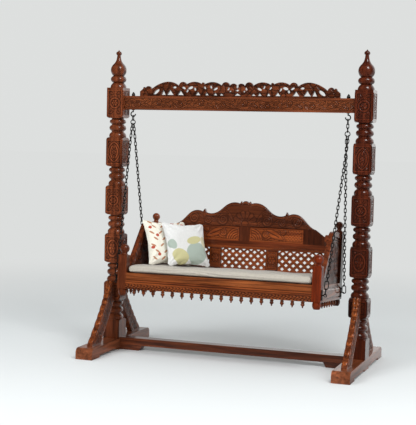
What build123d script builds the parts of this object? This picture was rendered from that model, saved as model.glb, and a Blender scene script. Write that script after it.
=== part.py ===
from build123d import *
from math import cos, hypot, radians, sin, sqrt, tan
import os

# Carved jhoola swing: a bench on four chains under a two-post wooden stand.
# Millimetres. +X from the left post to the right one as seen from in front, -Y to the front, +Z up.
# The origin lies on the floor, midway between the two posts.

# ---- fits -------------------------------------------------------------------------
joint_gap = 0.2            # glued wood joints and pins in their holes
soft_gap = 0.4             # cloth against wood and cloth against cloth
chain_gap = 0.3            # between the wires of two linked pieces

# ---- stand: posts -------------------------------------------------------------------
post_spacing = 1698.0
post_width = 117.0
base_block = 131.0
short_block = 128.0
tall_block = 197.0
tall_block_count = 3
top_block = 204.0
shoulder_height = 16.0     # corners turned away at the ends of each block
neck_radius = 42.0
bead_radius = 57.0
collar_radius = 55.5
dome_height = 35.0
neck_height = 8.0
bead_height = 40.0
collar_height = 30.0
cove_height = 8.5
post_tenon_radius = 30.0
post_tenon_length = 42.0

# ---- stand: finials -----------------------------------------------------------------
finial_base_height = 35.0
finial_ring_height = 45.0
finial_ring_radius = 52.5
finial_neck_radius = 35.0
finial_bulb_height = 77.5
finial_bulb_radius = 53.0
finial_shoulder_radius = 37.0
finial_stem_radius = 12.0
finial_stem_height = 62.0
finial_ball_radius = 19.0
finial_tip_height = 36.0
finial_dowel_radius = 16.0
finial_dowel_length = 45.0

# ---- stand: feet, stretcher, braces -------------------------------------------------
foot_length = 970.0
foot_width = 117.0
foot_height = 58.0
foot_nose_radius = 32.0
pad_height = 15.0
pad_length = 122.0
stretcher_width = 78.0
stretcher_height = 50.0
stretcher_bottom = 33.0
stretcher_tenon_width = 40.0
stretcher_tenon_height = 30.0
stretcher_tenon_length = 26.0
stretcher_block_length = 160.0
brace_thickness = 37.0
brace_rise = 395.0         # above the foot
brace_reach = 400.0        # toe of the brace from the post's axis
brace_head = 51.0          # how far its head stands out of the post
brace_foot_depth = 138.0
brace_throat = 262.0       # height above the foot where it leaves the post
scallops = 10
scallop_depth = 6.0

# ---- stand: top beam, cresting, hooks -----------------------------------------------
beam_thickness = 64.0
beam_height = 92.0
beam_drop = 53.0           # beam's top edge below the top of the post
beam_border = 12.0
beam_recess = 3.0
beam_tenon_width = 34.0
beam_tenon_height = 60.0
beam_tenon_length = 40.0
cresting_nut_gap = 39.0     # from its ends to the cap nuts of the hooks
cresting_strip = 10.0       # left whole under the piercing
cresting_height = 97.0
cresting_thickness = 20.0
hook_spacing = 1476.0
hook_wire = 8.0
hook_radius = 16.0
hook_drop = 29.0           # centre of the hook's bend below the beam
hook_sweep = 275.0
hook_weld_radius = 4.6     # bead where the bend meets the shank
washer_radius = 11.0
washer_thickness = 2.5
cap_nut_radius = 12.0
cap_nut_height = 25.0
cap_nut_tip = 1.5
cap_nut_bore = 14.0

# ---- chains -------------------------------------------------------------------------
hanger_wire = 6.0
hanger_inner_length = 30.0
hanger_inner_width = 14.0
split_ring_wire = 6.0
split_ring_radius = 16.0
chain_wire = 5.5
link_inner_width = 8.5
link_pitch = 25.0
chain_side_step = 6.5      # the two chains sit side by side on the split ring
chain_seat = 7.0           # top wire of a chain above the wire of the split ring
extra_links_right = 2
drop_link_inner_length = 34.0
drop_ring_wire = 6.0
drop_ring_inner_length = 48.0
drop_ring_inner_width = 18.0
s_hook_radius = 13.0
eye_radius_front = 9.0
eye_radius_back = 11.0
eye_wire = 5.5
eye_neck_radius = 4.0
eye_plate_width = 30.0
eye_plate_height = 66.0
eye_plate_thickness = 4.0
eye_stand_off = 22.0       # hinge line outside the bench's corner posts
eye_height = 45.0          # hinge line above the rails' lower edge
screw_head_radius = 4.5
screw_head_height = 2.0
screw_shank_radius = 2.2
screw_length = 24.0
screw_spacing = 48.0

# ---- bench: frame -------------------------------------------------------------------
bench_tilt = 5.0           # the seat hangs tilted back
bench_set_forward = 66.0   # its centre ahead of the hook line, so that it hangs in balance
bench_clearance = 437.3    # centre of the rails' lower edge above the floor
corner_spacing_x = 1300.0
corner_spacing_y = 520.0
corner_post = 58.0
bun_height = 45.0
bun_foot_radius = 18.0
front_post_height = 222.0
back_post_height = 447.0
post_top_chamfer = 5.0
front_knob_radius = 31.0
back_knob_radius = 26.0
knob_neck_share = 0.66     # of the knob's radius
knob_neck_height = 16.0
rail_height = 106.0
rail_thickness = 36.0
rail_tenon_length = 20.0
rail_tenon_height = 60.0
rail_tenon_centre = 43.0
rail_tenon_thickness = 16.0
rail_bead = 8.0
moulding_depth = 4.0
slat_thickness = 18.0
slat_count = 12
slat_gap = 6.0
slat_ledge = 14.0
drop_pitch = 66.4
drop_length = 42.0
drop_radius = 11.5
drop_neck_radius = 8.0
drop_tail_radius = 3.6
drop_ball_radius = 4.8

# ---- bench: back --------------------------------------------------------------------
back_thickness = 24.0
lower_rail_top = 155.0
jali_top = 293.0
middle_rail_top = 345.0
crest_bottom = 445.0
crest_shoulder_x = 495.0
crest_end_rise = 11.0       # its sloping shoulder ends this far above the middle rail
inner_stile_near = 158.0
inner_stile_far = 243.0
end_stile_near = 559.0
centre_stile_half = 36.0
carved_panel_far = 412.0
panel_thickness = 16.0
jali_thickness = 14.0
jali_pitch = 51.0
jali_hole_width = 28.0
jali_hole_height = 24.0
jali_first_row = 18.0      # first row of holes above the lower rail

# ---- bench: arms --------------------------------------------------------------------
arm_rail_thickness = 34.0
arm_panel_thickness = 18.0
arm_base_height = 44.0
arm_base_thickness = 30.0
arm_band = 32.0            # width of the bent arm rail
arm_top = 441.0
arm_slant = 52.0           # of its front part, from the level
arm_bend_radius = 100.0
arm_bend_y = 100.0
arm_fall = 12.0            # the hand rest falls this much to the back post
arm_scroll_radius = 38.0   # round scroll on the inner face of the head
arm_scroll_depth = 22.0
arm_scroll_edge = 5.0

# ---- soft goods ---------------------------------------------------------------------
mattress_thickness = 52.0
mattress_side_gap = 8.0
mattress_round = 14.0
cushion_side = 324.0
cushion_crown_side = 170.0
cushion_half_thickness = 40.0
cushion_turn = 50.0        # both cushions lean into the left back corner
cushion_lean = 24.0
sprig_cushion_place = (-478.0, 47.0)
leaf_cushion_place = (-349.0, 60.0)

# ---- derived places -----------------------------------------------------------------
foot_top = pad_height + foot_height
turned_length = dome_height + 2 * neck_height + bead_height + collar_height + cove_height
post_blocks = [base_block, short_block] + [tall_block] * tall_block_count + [top_block]
post_top = foot_top + sum(post_blocks) + turned_length * (len(post_blocks) - 1)
post_x = post_spacing / 2
post_half = post_width / 2
beam_top = post_top - beam_drop
beam_bottom = beam_top - beam_height
beam_half_length = post_x - post_half
hook_x = hook_spacing / 2
cresting_half_length = hook_x - cap_nut_radius - cresting_nut_gap
hook_centre_z = beam_bottom - hook_drop
hook_pivot_z = hook_centre_z - hook_radius
corner_x = corner_spacing_x / 2
corner_y = corner_spacing_y / 2
corner_half = corner_post / 2
bench_outer_x = corner_x + corner_half
eye_x = bench_outer_x + eye_stand_off
back_face = corner_y - back_thickness / 2
mattress_top = rail_height + soft_gap + mattress_thickness
rail_span_x = 2 * (corner_x - corner_half)
rail_span_y = 2 * (corner_y - corner_half)
arm_foot_z = rail_height + arm_base_height

# the bench has a frame of its own: X along the seat, Y to its back, Z up through its posts
bench = Plane(
    origin=(0, -bench_set_forward, bench_clearance),
    x_dir=(1, 0, 0),
    z_dir=(0, sin(radians(bench_tilt)), cos(radians(bench_tilt))),
)


def bench_point(x, y, z):
    """A point of the bench's own frame, in the frame of the whole swing."""
    return bench.from_local_coords(Vector(x, y, z))


def bench_up(x, y, z):
    """Sketch plane that looks up out of the seat: its x is the seat's X, its y the seat's Y."""
    return Plane(bench_point(x, y, z), x_dir=bench.x_dir, z_dir=bench.z_dir)


def bench_front(x, y, z):
    """Sketch plane that looks to the front: its x is the seat's X, its y the seat's Z."""
    return Plane(bench_point(x, y, z), x_dir=bench.x_dir, z_dir=-bench.y_dir)


def bench_side(x, y, z):
    """Sketch plane that looks along X: its x is the seat's Y, its y the seat's Z."""
    return Plane(bench_point(x, y, z), x_dir=bench.y_dir, z_dir=bench.x_dir)


def upright(x, y, z):
    """Sketch plane that looks to the front of the stand: its x is X, its y is Z."""
    return Plane((x, y, z), x_dir=(1, 0, 0), z_dir=(0, -1, 0))


def sideways(x, y, z):
    """Sketch plane that looks along X: its x is Y, its y is Z."""
    return Plane((x, y, z), x_dir=(0, 1, 0), z_dir=(1, 0, 0))


def write_part(part, name):
    """Label one finished piece and write its STEP file."""
    part.label = name
    export_step(part, f"parts/{name}.step")


# ---- stand --------------------------------------------------------------------------
def draw_turning(bottom):
    """Dome, bead and collar of the turned length between two blocks, from the bottom up."""
    dome_end = bottom + dome_height
    bead_start = dome_end + neck_height
    bead_end = bead_start + bead_height
    collar_start = bead_end + neck_height
    collar_end = collar_start + collar_height
    ThreePointArc(
        (post_half - 2, bottom),
        (bead_radius, bottom + dome_height / 2),
        (neck_radius, dome_end),
    )
    Line((neck_radius, dome_end), (neck_radius, bead_start))
    ThreePointArc(
        (neck_radius, bead_start),
        (bead_radius, bead_start + bead_height / 2),
        (neck_radius, bead_end),
    )
    Line((neck_radius, bead_end), (neck_radius, collar_start))
    ThreePointArc(
        (neck_radius, collar_start),
        (collar_radius, collar_start + collar_height / 2),
        (neck_radius, collar_end),
    )
    Line((neck_radius, collar_end), (neck_radius, collar_end + cove_height))


def draw_block(bottom, height, turned_below, turned_above):
    """Outline of a square block, wider than its corners, with turned shoulders at its ends."""
    corner_radius = post_half * sqrt(2) + 2
    low = bottom + (shoulder_height if turned_below else 0)
    high = bottom + height - (shoulder_height if turned_above else 0)
    if turned_below:
        Line((neck_radius, bottom), (post_half + 0.5, bottom))
        ThreePointArc(
            (post_half + 0.5, bottom),
            (post_half + 16, bottom + shoulder_height / 3),
            (corner_radius, low),
        )
    Line((corner_radius, low), (corner_radius, high))
    if turned_above:
        ThreePointArc(
            (corner_radius, high),
            (post_half + 16, bottom + height - shoulder_height / 3),
            (post_half + 0.5, bottom + height),
        )
        Line((post_half + 0.5, bottom + height), (post_half - 2, bottom + height))


def make_post(side):
    """Square post turned between its blocks, with a round tenon below and a beam mortise above."""
    axis_x = side * post_x
    last = len(post_blocks) - 1
    with BuildPart() as post:
        with BuildSketch(Plane((axis_x, 0, foot_top))):
            Rectangle(post_width, post_width)
        extrude(amount=post_top - foot_top)
        with BuildSketch(upright(axis_x, 0, 0)):
            with BuildLine():
                level = foot_top
                Line((0, level), (post_half * sqrt(2) + 2, level))
                for number, height in enumerate(post_blocks):
                    draw_block(level, height, number > 0, number < last)
                    level += height
                    if number < last:
                        draw_turning(level)
                        level += turned_length
                Line((post_half * sqrt(2) + 2, level), (0, level))
                Line((0, level), (0, foot_top))
            make_face()
        revolve(axis=Axis((axis_x, 0, 0), (0, 0, 1)), mode=Mode.INTERSECT)
        with BuildSketch(Plane((axis_x, 0, foot_top))):
            Circle(post_tenon_radius)
        extrude(amount=-post_tenon_length)
        with BuildSketch(Plane((axis_x, 0, post_top))):
            Circle(finial_dowel_radius + joint_gap)
        extrude(amount=-(finial_dowel_length + 1), mode=Mode.SUBTRACT)
        with BuildSketch(sideways(side * beam_half_length, 0, beam_bottom + beam_height / 2)):
            Rectangle(beam_tenon_width + 2 * joint_gap, beam_tenon_height + 2 * joint_gap)
        extrude(amount=side * (beam_tenon_length + 1), mode=Mode.SUBTRACT)
    return post.part


def make_finial(side):
    """Turned finial: base dome, ring, round bulb, tapering stem and a pointed ball, on a dowel."""
    axis_x = side * post_x
    ring_start = post_top + finial_base_height
    ring_end = ring_start + finial_ring_height
    bulb_end = ring_end + finial_bulb_height
    stem_end = bulb_end + finial_stem_height
    bulb_widest = ring_end + 0.54 * finial_bulb_height
    dowel_end = post_top - finial_dowel_length
    with BuildPart() as finial:
        with BuildSketch(upright(axis_x, 0, 0)):
            with BuildLine():
                Polyline(
                    (0, dowel_end),
                    (finial_dowel_radius, dowel_end),
                    (finial_dowel_radius, post_top),
                    (post_half - 4, post_top),
                )
                ThreePointArc(
                    (post_half - 4, post_top),
                    (post_half - 6, post_top + finial_base_height / 3),
                    (finial_neck_radius, ring_start),
                )
                ThreePointArc(
                    (finial_neck_radius, ring_start),
                    (finial_ring_radius, ring_start + finial_ring_height / 2),
                    (finial_neck_radius, ring_end),
                )
                ThreePointArc(
                    (finial_neck_radius, ring_end),
                    (finial_bulb_radius, bulb_widest),
                    (finial_shoulder_radius, bulb_end),
                )
                Spline(
                    (finial_shoulder_radius, bulb_end),
                    (finial_stem_radius + 9, bulb_end + 0.34 * finial_stem_height),
                    (finial_stem_radius, stem_end),
                    tangents=[(-1, 1), (-0.1, 1)],
                )
                ThreePointArc(
                    (finial_stem_radius, stem_end),
                    (finial_ball_radius, stem_end + finial_tip_height * 0.35),
                    (finial_stem_radius - 4, stem_end + finial_tip_height * 0.7),
                )
                Polyline(
                    (finial_stem_radius - 4, stem_end + finial_tip_height * 0.7),
                    (0, stem_end + finial_tip_height),
                    (0, dowel_end),
                )
            make_face()
        revolve(axis=Axis((axis_x, 0, 0), (0, 0, 1)))
    return finial.part


def make_foot(side):
    """Foot beam with rounded noses, bored for the post and mortised for the stretcher."""
    axis_x = side * post_x
    half = foot_length / 2
    inner_x = axis_x - side * foot_width / 2
    with BuildPart() as foot:
        with BuildSketch(sideways(axis_x - foot_width / 2, 0, pad_height)):
            with BuildLine():
                Polyline(
                    (-half + foot_nose_radius, foot_height),
                    (half - foot_nose_radius, foot_height),
                )
                JernArc((half - foot_nose_radius, foot_height), (1, 0), foot_nose_radius, -90)
                Polyline(
                    (half, foot_height - foot_nose_radius),
                    (half, 0),
                    (-half, 0),
                    (-half, foot_height - foot_nose_radius),
                )
                JernArc((-half, foot_height - foot_nose_radius), (0, 1), foot_nose_radius, -90)
            make_face()
        extrude(amount=foot_width)
        with BuildSketch(Plane((axis_x, 0, foot_top))):
            Circle(post_tenon_radius + joint_gap)
        extrude(amount=-(post_tenon_length + 1), mode=Mode.SUBTRACT)
        tenon_z = stretcher_bottom + stretcher_height / 2
        with BuildSketch(sideways(inner_x, 0, tenon_z)):
            Rectangle(
                stretcher_tenon_width + 2 * joint_gap,
                stretcher_tenon_height + 2 * joint_gap,
            )
        extrude(amount=side * (stretcher_tenon_length + 1), mode=Mode.SUBTRACT)
    return foot.part


def make_foot_pads():
    """Three pads under each foot: they alone stand on the floor."""
    end_y = (foot_length - pad_length) / 2
    with BuildPart() as pads:
        with BuildSketch(Plane.XY):
            with Locations(*[(s * post_x, y) for s in (-1, 1) for y in (-end_y, 0, end_y)]):
                Rectangle(foot_width, pad_length)
        extrude(amount=pad_height)
    return pads.part


def brace_edge(share):
    """Point of the brace's outer edge, a curve from the head (0) to the toe (1)."""
    head_y = post_half + brace_head
    corner_z = foot_top + 0.75 * brace_rise
    rest = 1 - share
    y = rest * rest * head_y + 2 * rest * share * head_y + share * share * brace_reach
    z = (
        rest * rest * (foot_top + brace_rise)
        + 2 * rest * share * corner_z
        + share * share * foot_top
    )
    return y, z


def make_brace(side, way):
    """Curved brace between post and foot, with a scalloped outer edge; way is -1 in front."""
    axis_x = side * post_x
    with BuildPart() as brace:
        with BuildSketch(sideways(axis_x - brace_thickness / 2, 0, 0)):
            with BuildLine():
                for number in range(scallops):
                    start = brace_edge(number / scallops)
                    end = brace_edge((number + 1) / scallops)
                    run_y, run_z = end[0] - start[0], end[1] - start[1]
                    length = hypot(run_y, run_z)
                    crown = (
                        (start[0] + end[0]) / 2 - run_z / length * scallop_depth,
                        (start[1] + end[1]) / 2 + run_y / length * scallop_depth,
                    )
                    points = [(way * y, z) for y, z in (start, crown, end)]
                    ThreePointArc(*points)
                toe = brace_edge(1)
                head = brace_edge(0)
                Polyline(
                    (way * toe[0], toe[1]),
                    (way * (toe[0] - brace_foot_depth), foot_top),
                    (way * post_half, foot_top + brace_throat),
                    (way * post_half, head[1]),
                    (way * head[0], head[1]),
                )
            make_face()
        extrude(amount=brace_thickness)
    return brace.part


def make_stretcher():
    """Stretcher between the two feet, tenoned into both."""
    inner = post_x - foot_width / 2
    with BuildPart() as stretcher:
        with BuildSketch(sideways(-inner, 0, stretcher_bottom)):
            with Locations((0, stretcher_height / 2)):
                RectangleRounded(stretcher_width, stretcher_height, 3)
        extrude(amount=2 * inner)
        tenon_z = stretcher_bottom + stretcher_height / 2
        with BuildSketch(sideways(-inner - stretcher_tenon_length, 0, tenon_z)):
            Rectangle(stretcher_tenon_width, stretcher_tenon_height)
        extrude(amount=2 * (inner + stretcher_tenon_length))
    return stretcher.part


def make_stretcher_blocks():
    """Glue blocks under the two ends of the stretcher, down to the floor."""
    inner = post_x - foot_width / 2
    taper = stretcher_bottom * 0.6
    with BuildPart() as blocks:
        with BuildSketch(upright(0, stretcher_width / 2, 0)):
            for side in (-1, 1):
                with BuildLine():
                    Polyline(
                        (side * inner, 0),
                        (side * inner, stretcher_bottom),
                        (side * (inner - stretcher_block_length), stretcher_bottom),
                        (side * (inner - stretcher_block_length + taper), 0),
                        (side * inner, 0),
                    )
                make_face()
        extrude(amount=stretcher_width)
    return blocks.part


def make_beam():
    """Top beam with raised borders, tenoned into the posts and bored for the two hooks."""
    half = beam_thickness / 2
    field = half - beam_recess
    with BuildPart() as beam:
        with BuildSketch(sideways(-beam_half_length, 0, beam_bottom)):
            with BuildLine():
                Polyline(
                    (half, 0),
                    (half, beam_border),
                    (field, beam_border + beam_recess),
                    (field, beam_height - beam_border - beam_recess),
                    (half, beam_height - beam_border),
                    (half, beam_height),
                    (-half, beam_height),
                    (-half, beam_height - beam_border),
                    (-field, beam_height - beam_border - beam_recess),
                    (-field, beam_border + beam_recess),
                    (-half, beam_border),
                    (-half, 0),
                    close=True,
                )
            make_face()
        extrude(amount=2 * beam_half_length)
        tenon_x = -beam_half_length - beam_tenon_length
        with BuildSketch(sideways(tenon_x, 0, beam_bottom + beam_height / 2)):
            Rectangle(beam_tenon_width, beam_tenon_height)
        extrude(amount=-2 * tenon_x)
        with BuildSketch(Plane((0, 0, beam_top))):
            with Locations((-hook_x, 0), (hook_x, 0)):
                Circle(hook_wire / 2 + joint_gap)
        extrude(amount=-beam_height, mode=Mode.SUBTRACT)
    return beam.part


def make_cresting():
    """Pierced scroll board on the beam, the same to both sides of its middle."""
    drawn_half = 687.0
    stretch = cresting_half_length / drawn_half
    top = cresting_height
    humps = [
        ((0, 64), (26, 88), (52, 70)),
        ((52, 70), (79, top), (108, 74)),
        ((108, 74), (172, top), (229, 80)),
        ((229, 80), (238, 94), (248, 84)),
        ((248, 84), (312, top), (354, 80)),
        ((354, 80), (380, top), (408, 71)),
        ((408, 71), (450, 93), (500, 96)),
        ((500, 96), (552, 80), (604, 46)),
        ((604, 46), (626, 67), (648, 52)),
        ((648, 52), (657, 61), (664, 50)),
    ]
    arches = [(0, 46, 16), (110, 30, 14), (152, 28, 19), (212, 26, 21), (274, 37, 25),
              (396, 46, 33), (470, 50, 37), (518, 33, 37)]
    eyes = [(0, 43, 20, 11, 0), (0, 70, 14, 27, 0), (48, 37, 11, 11, 0), (61, 53, 12, 21, 20),
            (151, 52, 33, 14, -25), (182, 64, 12, 23, -28), (225, 59, 12, 22, -40),
            (294, 50, 13, 24, -28), (326, 58, 37, 18, -16), (348, 38, 14, 22, 20),
            (373, 57, 28, 13, 25), (438, 60, 25, 13, 0), (568, 30, 50, 21, 142)]
    with BuildPart() as cresting:
        with BuildSketch(upright(0, cresting_thickness / 2, beam_top)):
            with BuildLine():
                for hump in humps:
                    ThreePointArc(*[(stretch * x, z) for x, z in hump])
                Polyline(
                    (stretch * 664, 50),
                    (cresting_half_length, 31),
                    (cresting_half_length, 0),
                    (0, 0),
                    (0, 64),
                )
            make_face()
            for x, wide, tall in arches:
                near, far = stretch * (x - wide / 2), stretch * (x + wide / 2)
                with BuildLine():
                    Line((near, cresting_strip), (far, cresting_strip))
                    ThreePointArc(
                        (far, cresting_strip),
                        (stretch * x + wide * 0.12, cresting_strip + 0.7 * tall),
                        (stretch * x, cresting_strip + tall),
                    )
                    ThreePointArc(
                        (stretch * x, cresting_strip + tall),
                        (stretch * x - wide * 0.12, cresting_strip + 0.7 * tall),
                        (near, cresting_strip),
                    )
                make_face(mode=Mode.SUBTRACT)
            for x, height, wide, tall, turn in eyes:
                with Locations((stretch * x, height)):
                    Ellipse(wide / 2, tall / 2, rotation=turn, mode=Mode.SUBTRACT)
            mirror(about=Plane.YZ)
        extrude(amount=cresting_thickness)
    return cresting.part


def make_hook(side):
    """Hook bolt: a threaded shank through the beam, bent to an open hook below it."""
    shank_top = beam_top + washer_thickness + cap_nut_bore - 1
    with BuildPart() as hook:
        with BuildSketch(sideways(-hook_x, 0, hook_centre_z)):
            with Locations((0, hook_radius)):
                Circle(hook_wire / 2)
        revolve(axis=Axis((-hook_x, 0, hook_centre_z), (0, -1, 0)), revolution_arc=hook_sweep)
        with BuildSketch(Plane((-hook_x, 0, hook_centre_z + hook_radius))):
            Circle(hook_wire / 2)
        extrude(amount=shank_top - hook_centre_z - hook_radius)
        with Locations((-hook_x, 0, hook_centre_z + hook_radius)):
            Sphere(hook_weld_radius)
        if side > 0:
            mirror(about=Plane.YZ, mode=Mode.REPLACE)
    return hook.part


def make_hook_nuts():
    """Pointed cap nuts on top of the beam, with a washer above and below it for each hook."""
    bore = hook_wire / 2 + joint_gap
    nut_bottom = beam_top + washer_thickness
    with BuildPart() as nuts:
        with BuildSketch(Plane((0, 0, beam_top)), Plane((0, 0, beam_bottom - washer_thickness))):
            with Locations((-hook_x, 0), (hook_x, 0)):
                Circle(washer_radius)
                Circle(bore, mode=Mode.SUBTRACT)
        extrude(amount=washer_thickness)
        for side in (-1, 1):
            with BuildSketch(upright(side * hook_x, 0, nut_bottom)):
                with BuildLine():
                    Polyline((bore, cap_nut_bore), (bore, 0), (cap_nut_radius, 0))
                    Line((cap_nut_radius, 0), (cap_nut_radius, cap_nut_height * 0.3))
                    ThreePointArc(
                        (cap_nut_radius, cap_nut_height * 0.3),
                        (cap_nut_radius * 0.6, cap_nut_height * 0.7),
                        (cap_nut_tip, cap_nut_height),
                    )
                    Polyline(
                        (cap_nut_tip, cap_nut_height),
                        (0, cap_nut_height),
                        (0, cap_nut_bore),
                        (bore, cap_nut_bore),
                    )
                make_face()
            revolve(axis=Axis((side * hook_x, 0, 0), (0, 0, 1)))
    return nuts.part


# ---- chains -------------------------------------------------------------------------
def make_oval(inner_length, inner_width, wire):
    """Oval link of round wire, lying flat at the origin with its length along X."""
    straight = (inner_length - inner_width) / 2
    bend = (inner_width + wire) / 2
    with BuildPart() as oval:
        with BuildLine():
            Line((-straight, bend), (straight, bend))
            CenterArc((straight, 0), bend, 90, -180)
            Line((straight, -bend), (-straight, -bend))
            CenterArc((-straight, 0), bend, 270, -180)
        with BuildSketch(Plane((-straight, bend, 0), z_dir=(1, 0, 0))):
            Circle(wire / 2)
        sweep()
    return oval.part


def make_s_hook(radius, wire):
    """S-hook of round wire, lying flat at the origin with its length along X."""
    with BuildPart() as hook:
        with BuildLine() as path:
            CenterArc((-radius, 0), radius, 70, 290)
            CenterArc((radius, 0), radius, 180, -290)
        with BuildSketch(Plane(path.line @ 0, z_dir=path.line % 0)):
            Circle(wire / 2)
        sweep()
    return hook.part


class HangingLine:
    """A straight pull from a fitting on the bench up to the split ring, and what hangs on it."""

    def __init__(self, start, finish):
        self.run = finish - start
        self.along = self.run.normalized()
        self.across = (Vector(1, 0, 0) - self.along * self.along.X).normalized()
        self.level = start          # centre of the wire that the next piece hooks on to
        self.wire = eye_wire
        self.flat = True            # whether the next piece lies in the plane of the run and X

    def place(self, centre, flat):
        """Location of a piece with its length along the run."""
        normal = self.along.cross(self.across) if flat else self.across
        return Plane(centre, x_dir=self.along, z_dir=normal).location

    def next_place(self, wire, length, flat):
        """Hook on a piece with this length between its end wires, and return its location."""
        low = self.level - self.along * ((self.wire + wire) / 2 + chain_gap)
        centre = low + self.along * (length / 2)
        self.level = low + self.along * length
        self.wire = wire
        return self.place(centre, flat)


hanger_top_z = hook_pivot_z + (hook_wire + hanger_wire) / 2 + 2 * chain_gap
hanger_bottom_z = hanger_top_z - hanger_inner_length - hanger_wire


def split_ring_centre(side):
    """Centre of the split ring: straight under the hanger, or two links lower on the right."""
    top_wire = hanger_bottom_z + (hanger_wire + split_ring_wire) / 2 + chain_gap
    lower = extra_links_right * link_pitch if side > 0 else 0
    return Vector(side * hook_x, 0, top_wire - split_ring_radius - lower)


def chain_seat_point(side, way):
    """Centre of the split ring's wire where one of its two chains hangs."""
    drop = sqrt(split_ring_radius**2 - chain_side_step**2)
    return split_ring_centre(side) + Vector(-way * side * chain_side_step, 0, -drop)


def eye_hinge(side, way):
    """Centre of the eye that carries one corner of the bench."""
    return bench_point(side * eye_x, way * corner_y, eye_height)


def fit_links(line, finish, first_flat, last_flat):
    """Whole links of nearly the wanted pitch between the line's level and its finish."""
    low = line.level - line.along * ((line.wire + chain_wire) / 2 + chain_gap)
    distance = (finish - low).length
    count = round((distance - chain_wire) / link_pitch)
    odd_wanted = first_flat == last_flat
    if (count % 2 == 1) != odd_wanted:
        count += 1
    step_back = chain_wire + chain_gap
    length = (distance + (count - 1) * step_back) / count
    return count, length


def make_corner_line(side, way):
    """Drop fitting and chain of one corner: returns the two parts."""
    start = eye_hinge(side, way)
    if way < 0:
        start += bench.z_dir * eye_radius_front
    seat = chain_seat_point(side, way)
    finish = seat + (seat - start).normalized() * chain_seat
    line = HangingLine(start, finish)
    drop_ring_length = drop_ring_inner_length + drop_ring_wire
    ring = make_oval(drop_ring_inner_length, drop_ring_inner_width, drop_ring_wire)
    with BuildPart() as drop:
        if way < 0:
            link = make_oval(drop_link_inner_length, link_inner_width, chain_wire)
            with Locations(line.next_place(chain_wire, drop_link_inner_length + chain_wire, False)):
                add(link)
            with Locations(line.next_place(drop_ring_wire, drop_ring_length, True)):
                add(ring)
        else:
            with Locations(line.next_place(drop_ring_wire, drop_ring_length, True)):
                add(ring)
            with Locations(line.next_place(chain_wire, 4 * s_hook_radius, False)):
                add(make_s_hook(s_hook_radius, chain_wire))
    first_flat = way > 0
    count, length = fit_links(line, finish, first_flat, False)
    link = make_oval(length - chain_wire, link_inner_width, chain_wire)
    places = [
        line.next_place(chain_wire, length, first_flat == (number % 2 == 0))
        for number in range(count)
    ]
    with BuildPart() as chain:
        with Locations(*places):
            add(link)
    return drop.part, chain.part


def make_hanger(side):
    """Upright oval ring that swings on the hook."""
    centre_z = (hanger_top_z + hanger_bottom_z) / 2
    hanger = make_oval(hanger_inner_length, hanger_inner_width, hanger_wire)
    with BuildPart() as ring:
        with Locations(Plane((side * hook_x, 0, centre_z), x_dir=(0, 0, 1), z_dir=(1, 0, 0))):
            add(hanger)
    return ring.part


def make_split_ring(side):
    """Round ring that gathers two chains, on two more links on the right."""
    ring_plane = Plane(split_ring_centre(side), x_dir=(1, 0, 0), z_dir=(0, -1, 0))
    with BuildPart() as ring:
        with Locations(ring_plane):
            Torus(split_ring_radius, split_ring_wire / 2)
        if side > 0:
            start = split_ring_centre(side) + Vector(0, 0, split_ring_radius)
            finish = Vector(side * hook_x, 0, hanger_bottom_z)
            line = HangingLine(start, finish)
            line.wire = split_ring_wire
            rise = (hanger_wire + chain_wire) / 2 + chain_gap
            span = (finish - start).length + rise + (split_ring_wire + chain_wire) / 2 + chain_gap
            overlap = chain_wire + chain_gap
            length = (span + (extra_links_right - 1) * overlap) / extra_links_right
            link = make_oval(length - chain_wire, link_inner_width, chain_wire)
            for number in range(extra_links_right):
                with Locations(line.next_place(chain_wire, length, number % 2 == 1)):
                    add(link)
    return ring.part


def make_eye_plates():
    """Four plates on the outer sides of the corner posts, each with an eye for its chain."""
    plate_x = bench_outer_x + eye_plate_thickness
    with BuildPart() as plates:
        for side in (-1, 1):
            for way in (-1, 1):
                base = bench_side(side * bench_outer_x, way * corner_y, eye_height)
                with BuildSketch(base):
                    RectangleRounded(eye_plate_width, eye_plate_height, 5)
                    with GridLocations(0, screw_spacing, 1, 2):
                        Circle(screw_shank_radius + joint_gap, mode=Mode.SUBTRACT)
                extrude(amount=side * eye_plate_thickness)
                if way < 0:
                    with Locations(bench_front(side * eye_x, way * corner_y, eye_height)):
                        Torus(eye_radius_front, eye_wire / 2)
                    neck = side * (eye_x - plate_x - eye_radius_front)
                    with BuildSketch(bench_side(side * plate_x, way * corner_y, eye_height)):
                        Circle(eye_neck_radius)
                    extrude(amount=neck)
                else:
                    centre_x = side * (eye_x - eye_radius_back)
                    legs = side * (centre_x * side - bench_outer_x - 1)
                    bow_start = bench_side(centre_x, way * corner_y, eye_height)
                    with BuildSketch(bow_start):
                        with Locations((-eye_radius_back, 0), (eye_radius_back, 0)):
                            Circle(eye_wire / 2)
                    extrude(amount=-legs)
                    with BuildSketch(bow_start):
                        with Locations((eye_radius_back, 0)):
                            Circle(eye_wire / 2)
                    bow_axis = Axis(
                        bench_point(centre_x, way * corner_y, eye_height), bench.z_dir * -side
                    )
                    revolve(axis=bow_axis, revolution_arc=180)
    return plates.part


def make_eye_screws():
    """Two round-head screws in each eye plate."""
    head_x = bench_outer_x + eye_plate_thickness
    with BuildPart() as screws:
        for side in (-1, 1):
            for way in (-1, 1):
                base = bench_side(side * head_x, way * corner_y, eye_height)
                with BuildSketch(base):
                    with GridLocations(0, screw_spacing, 1, 2):
                        Circle(screw_head_radius)
                extrude(amount=side * screw_head_height)
                with BuildSketch(base):
                    with GridLocations(0, screw_spacing, 1, 2):
                        Circle(screw_shank_radius)
                extrude(amount=-side * screw_length)
    return screws.part


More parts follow.
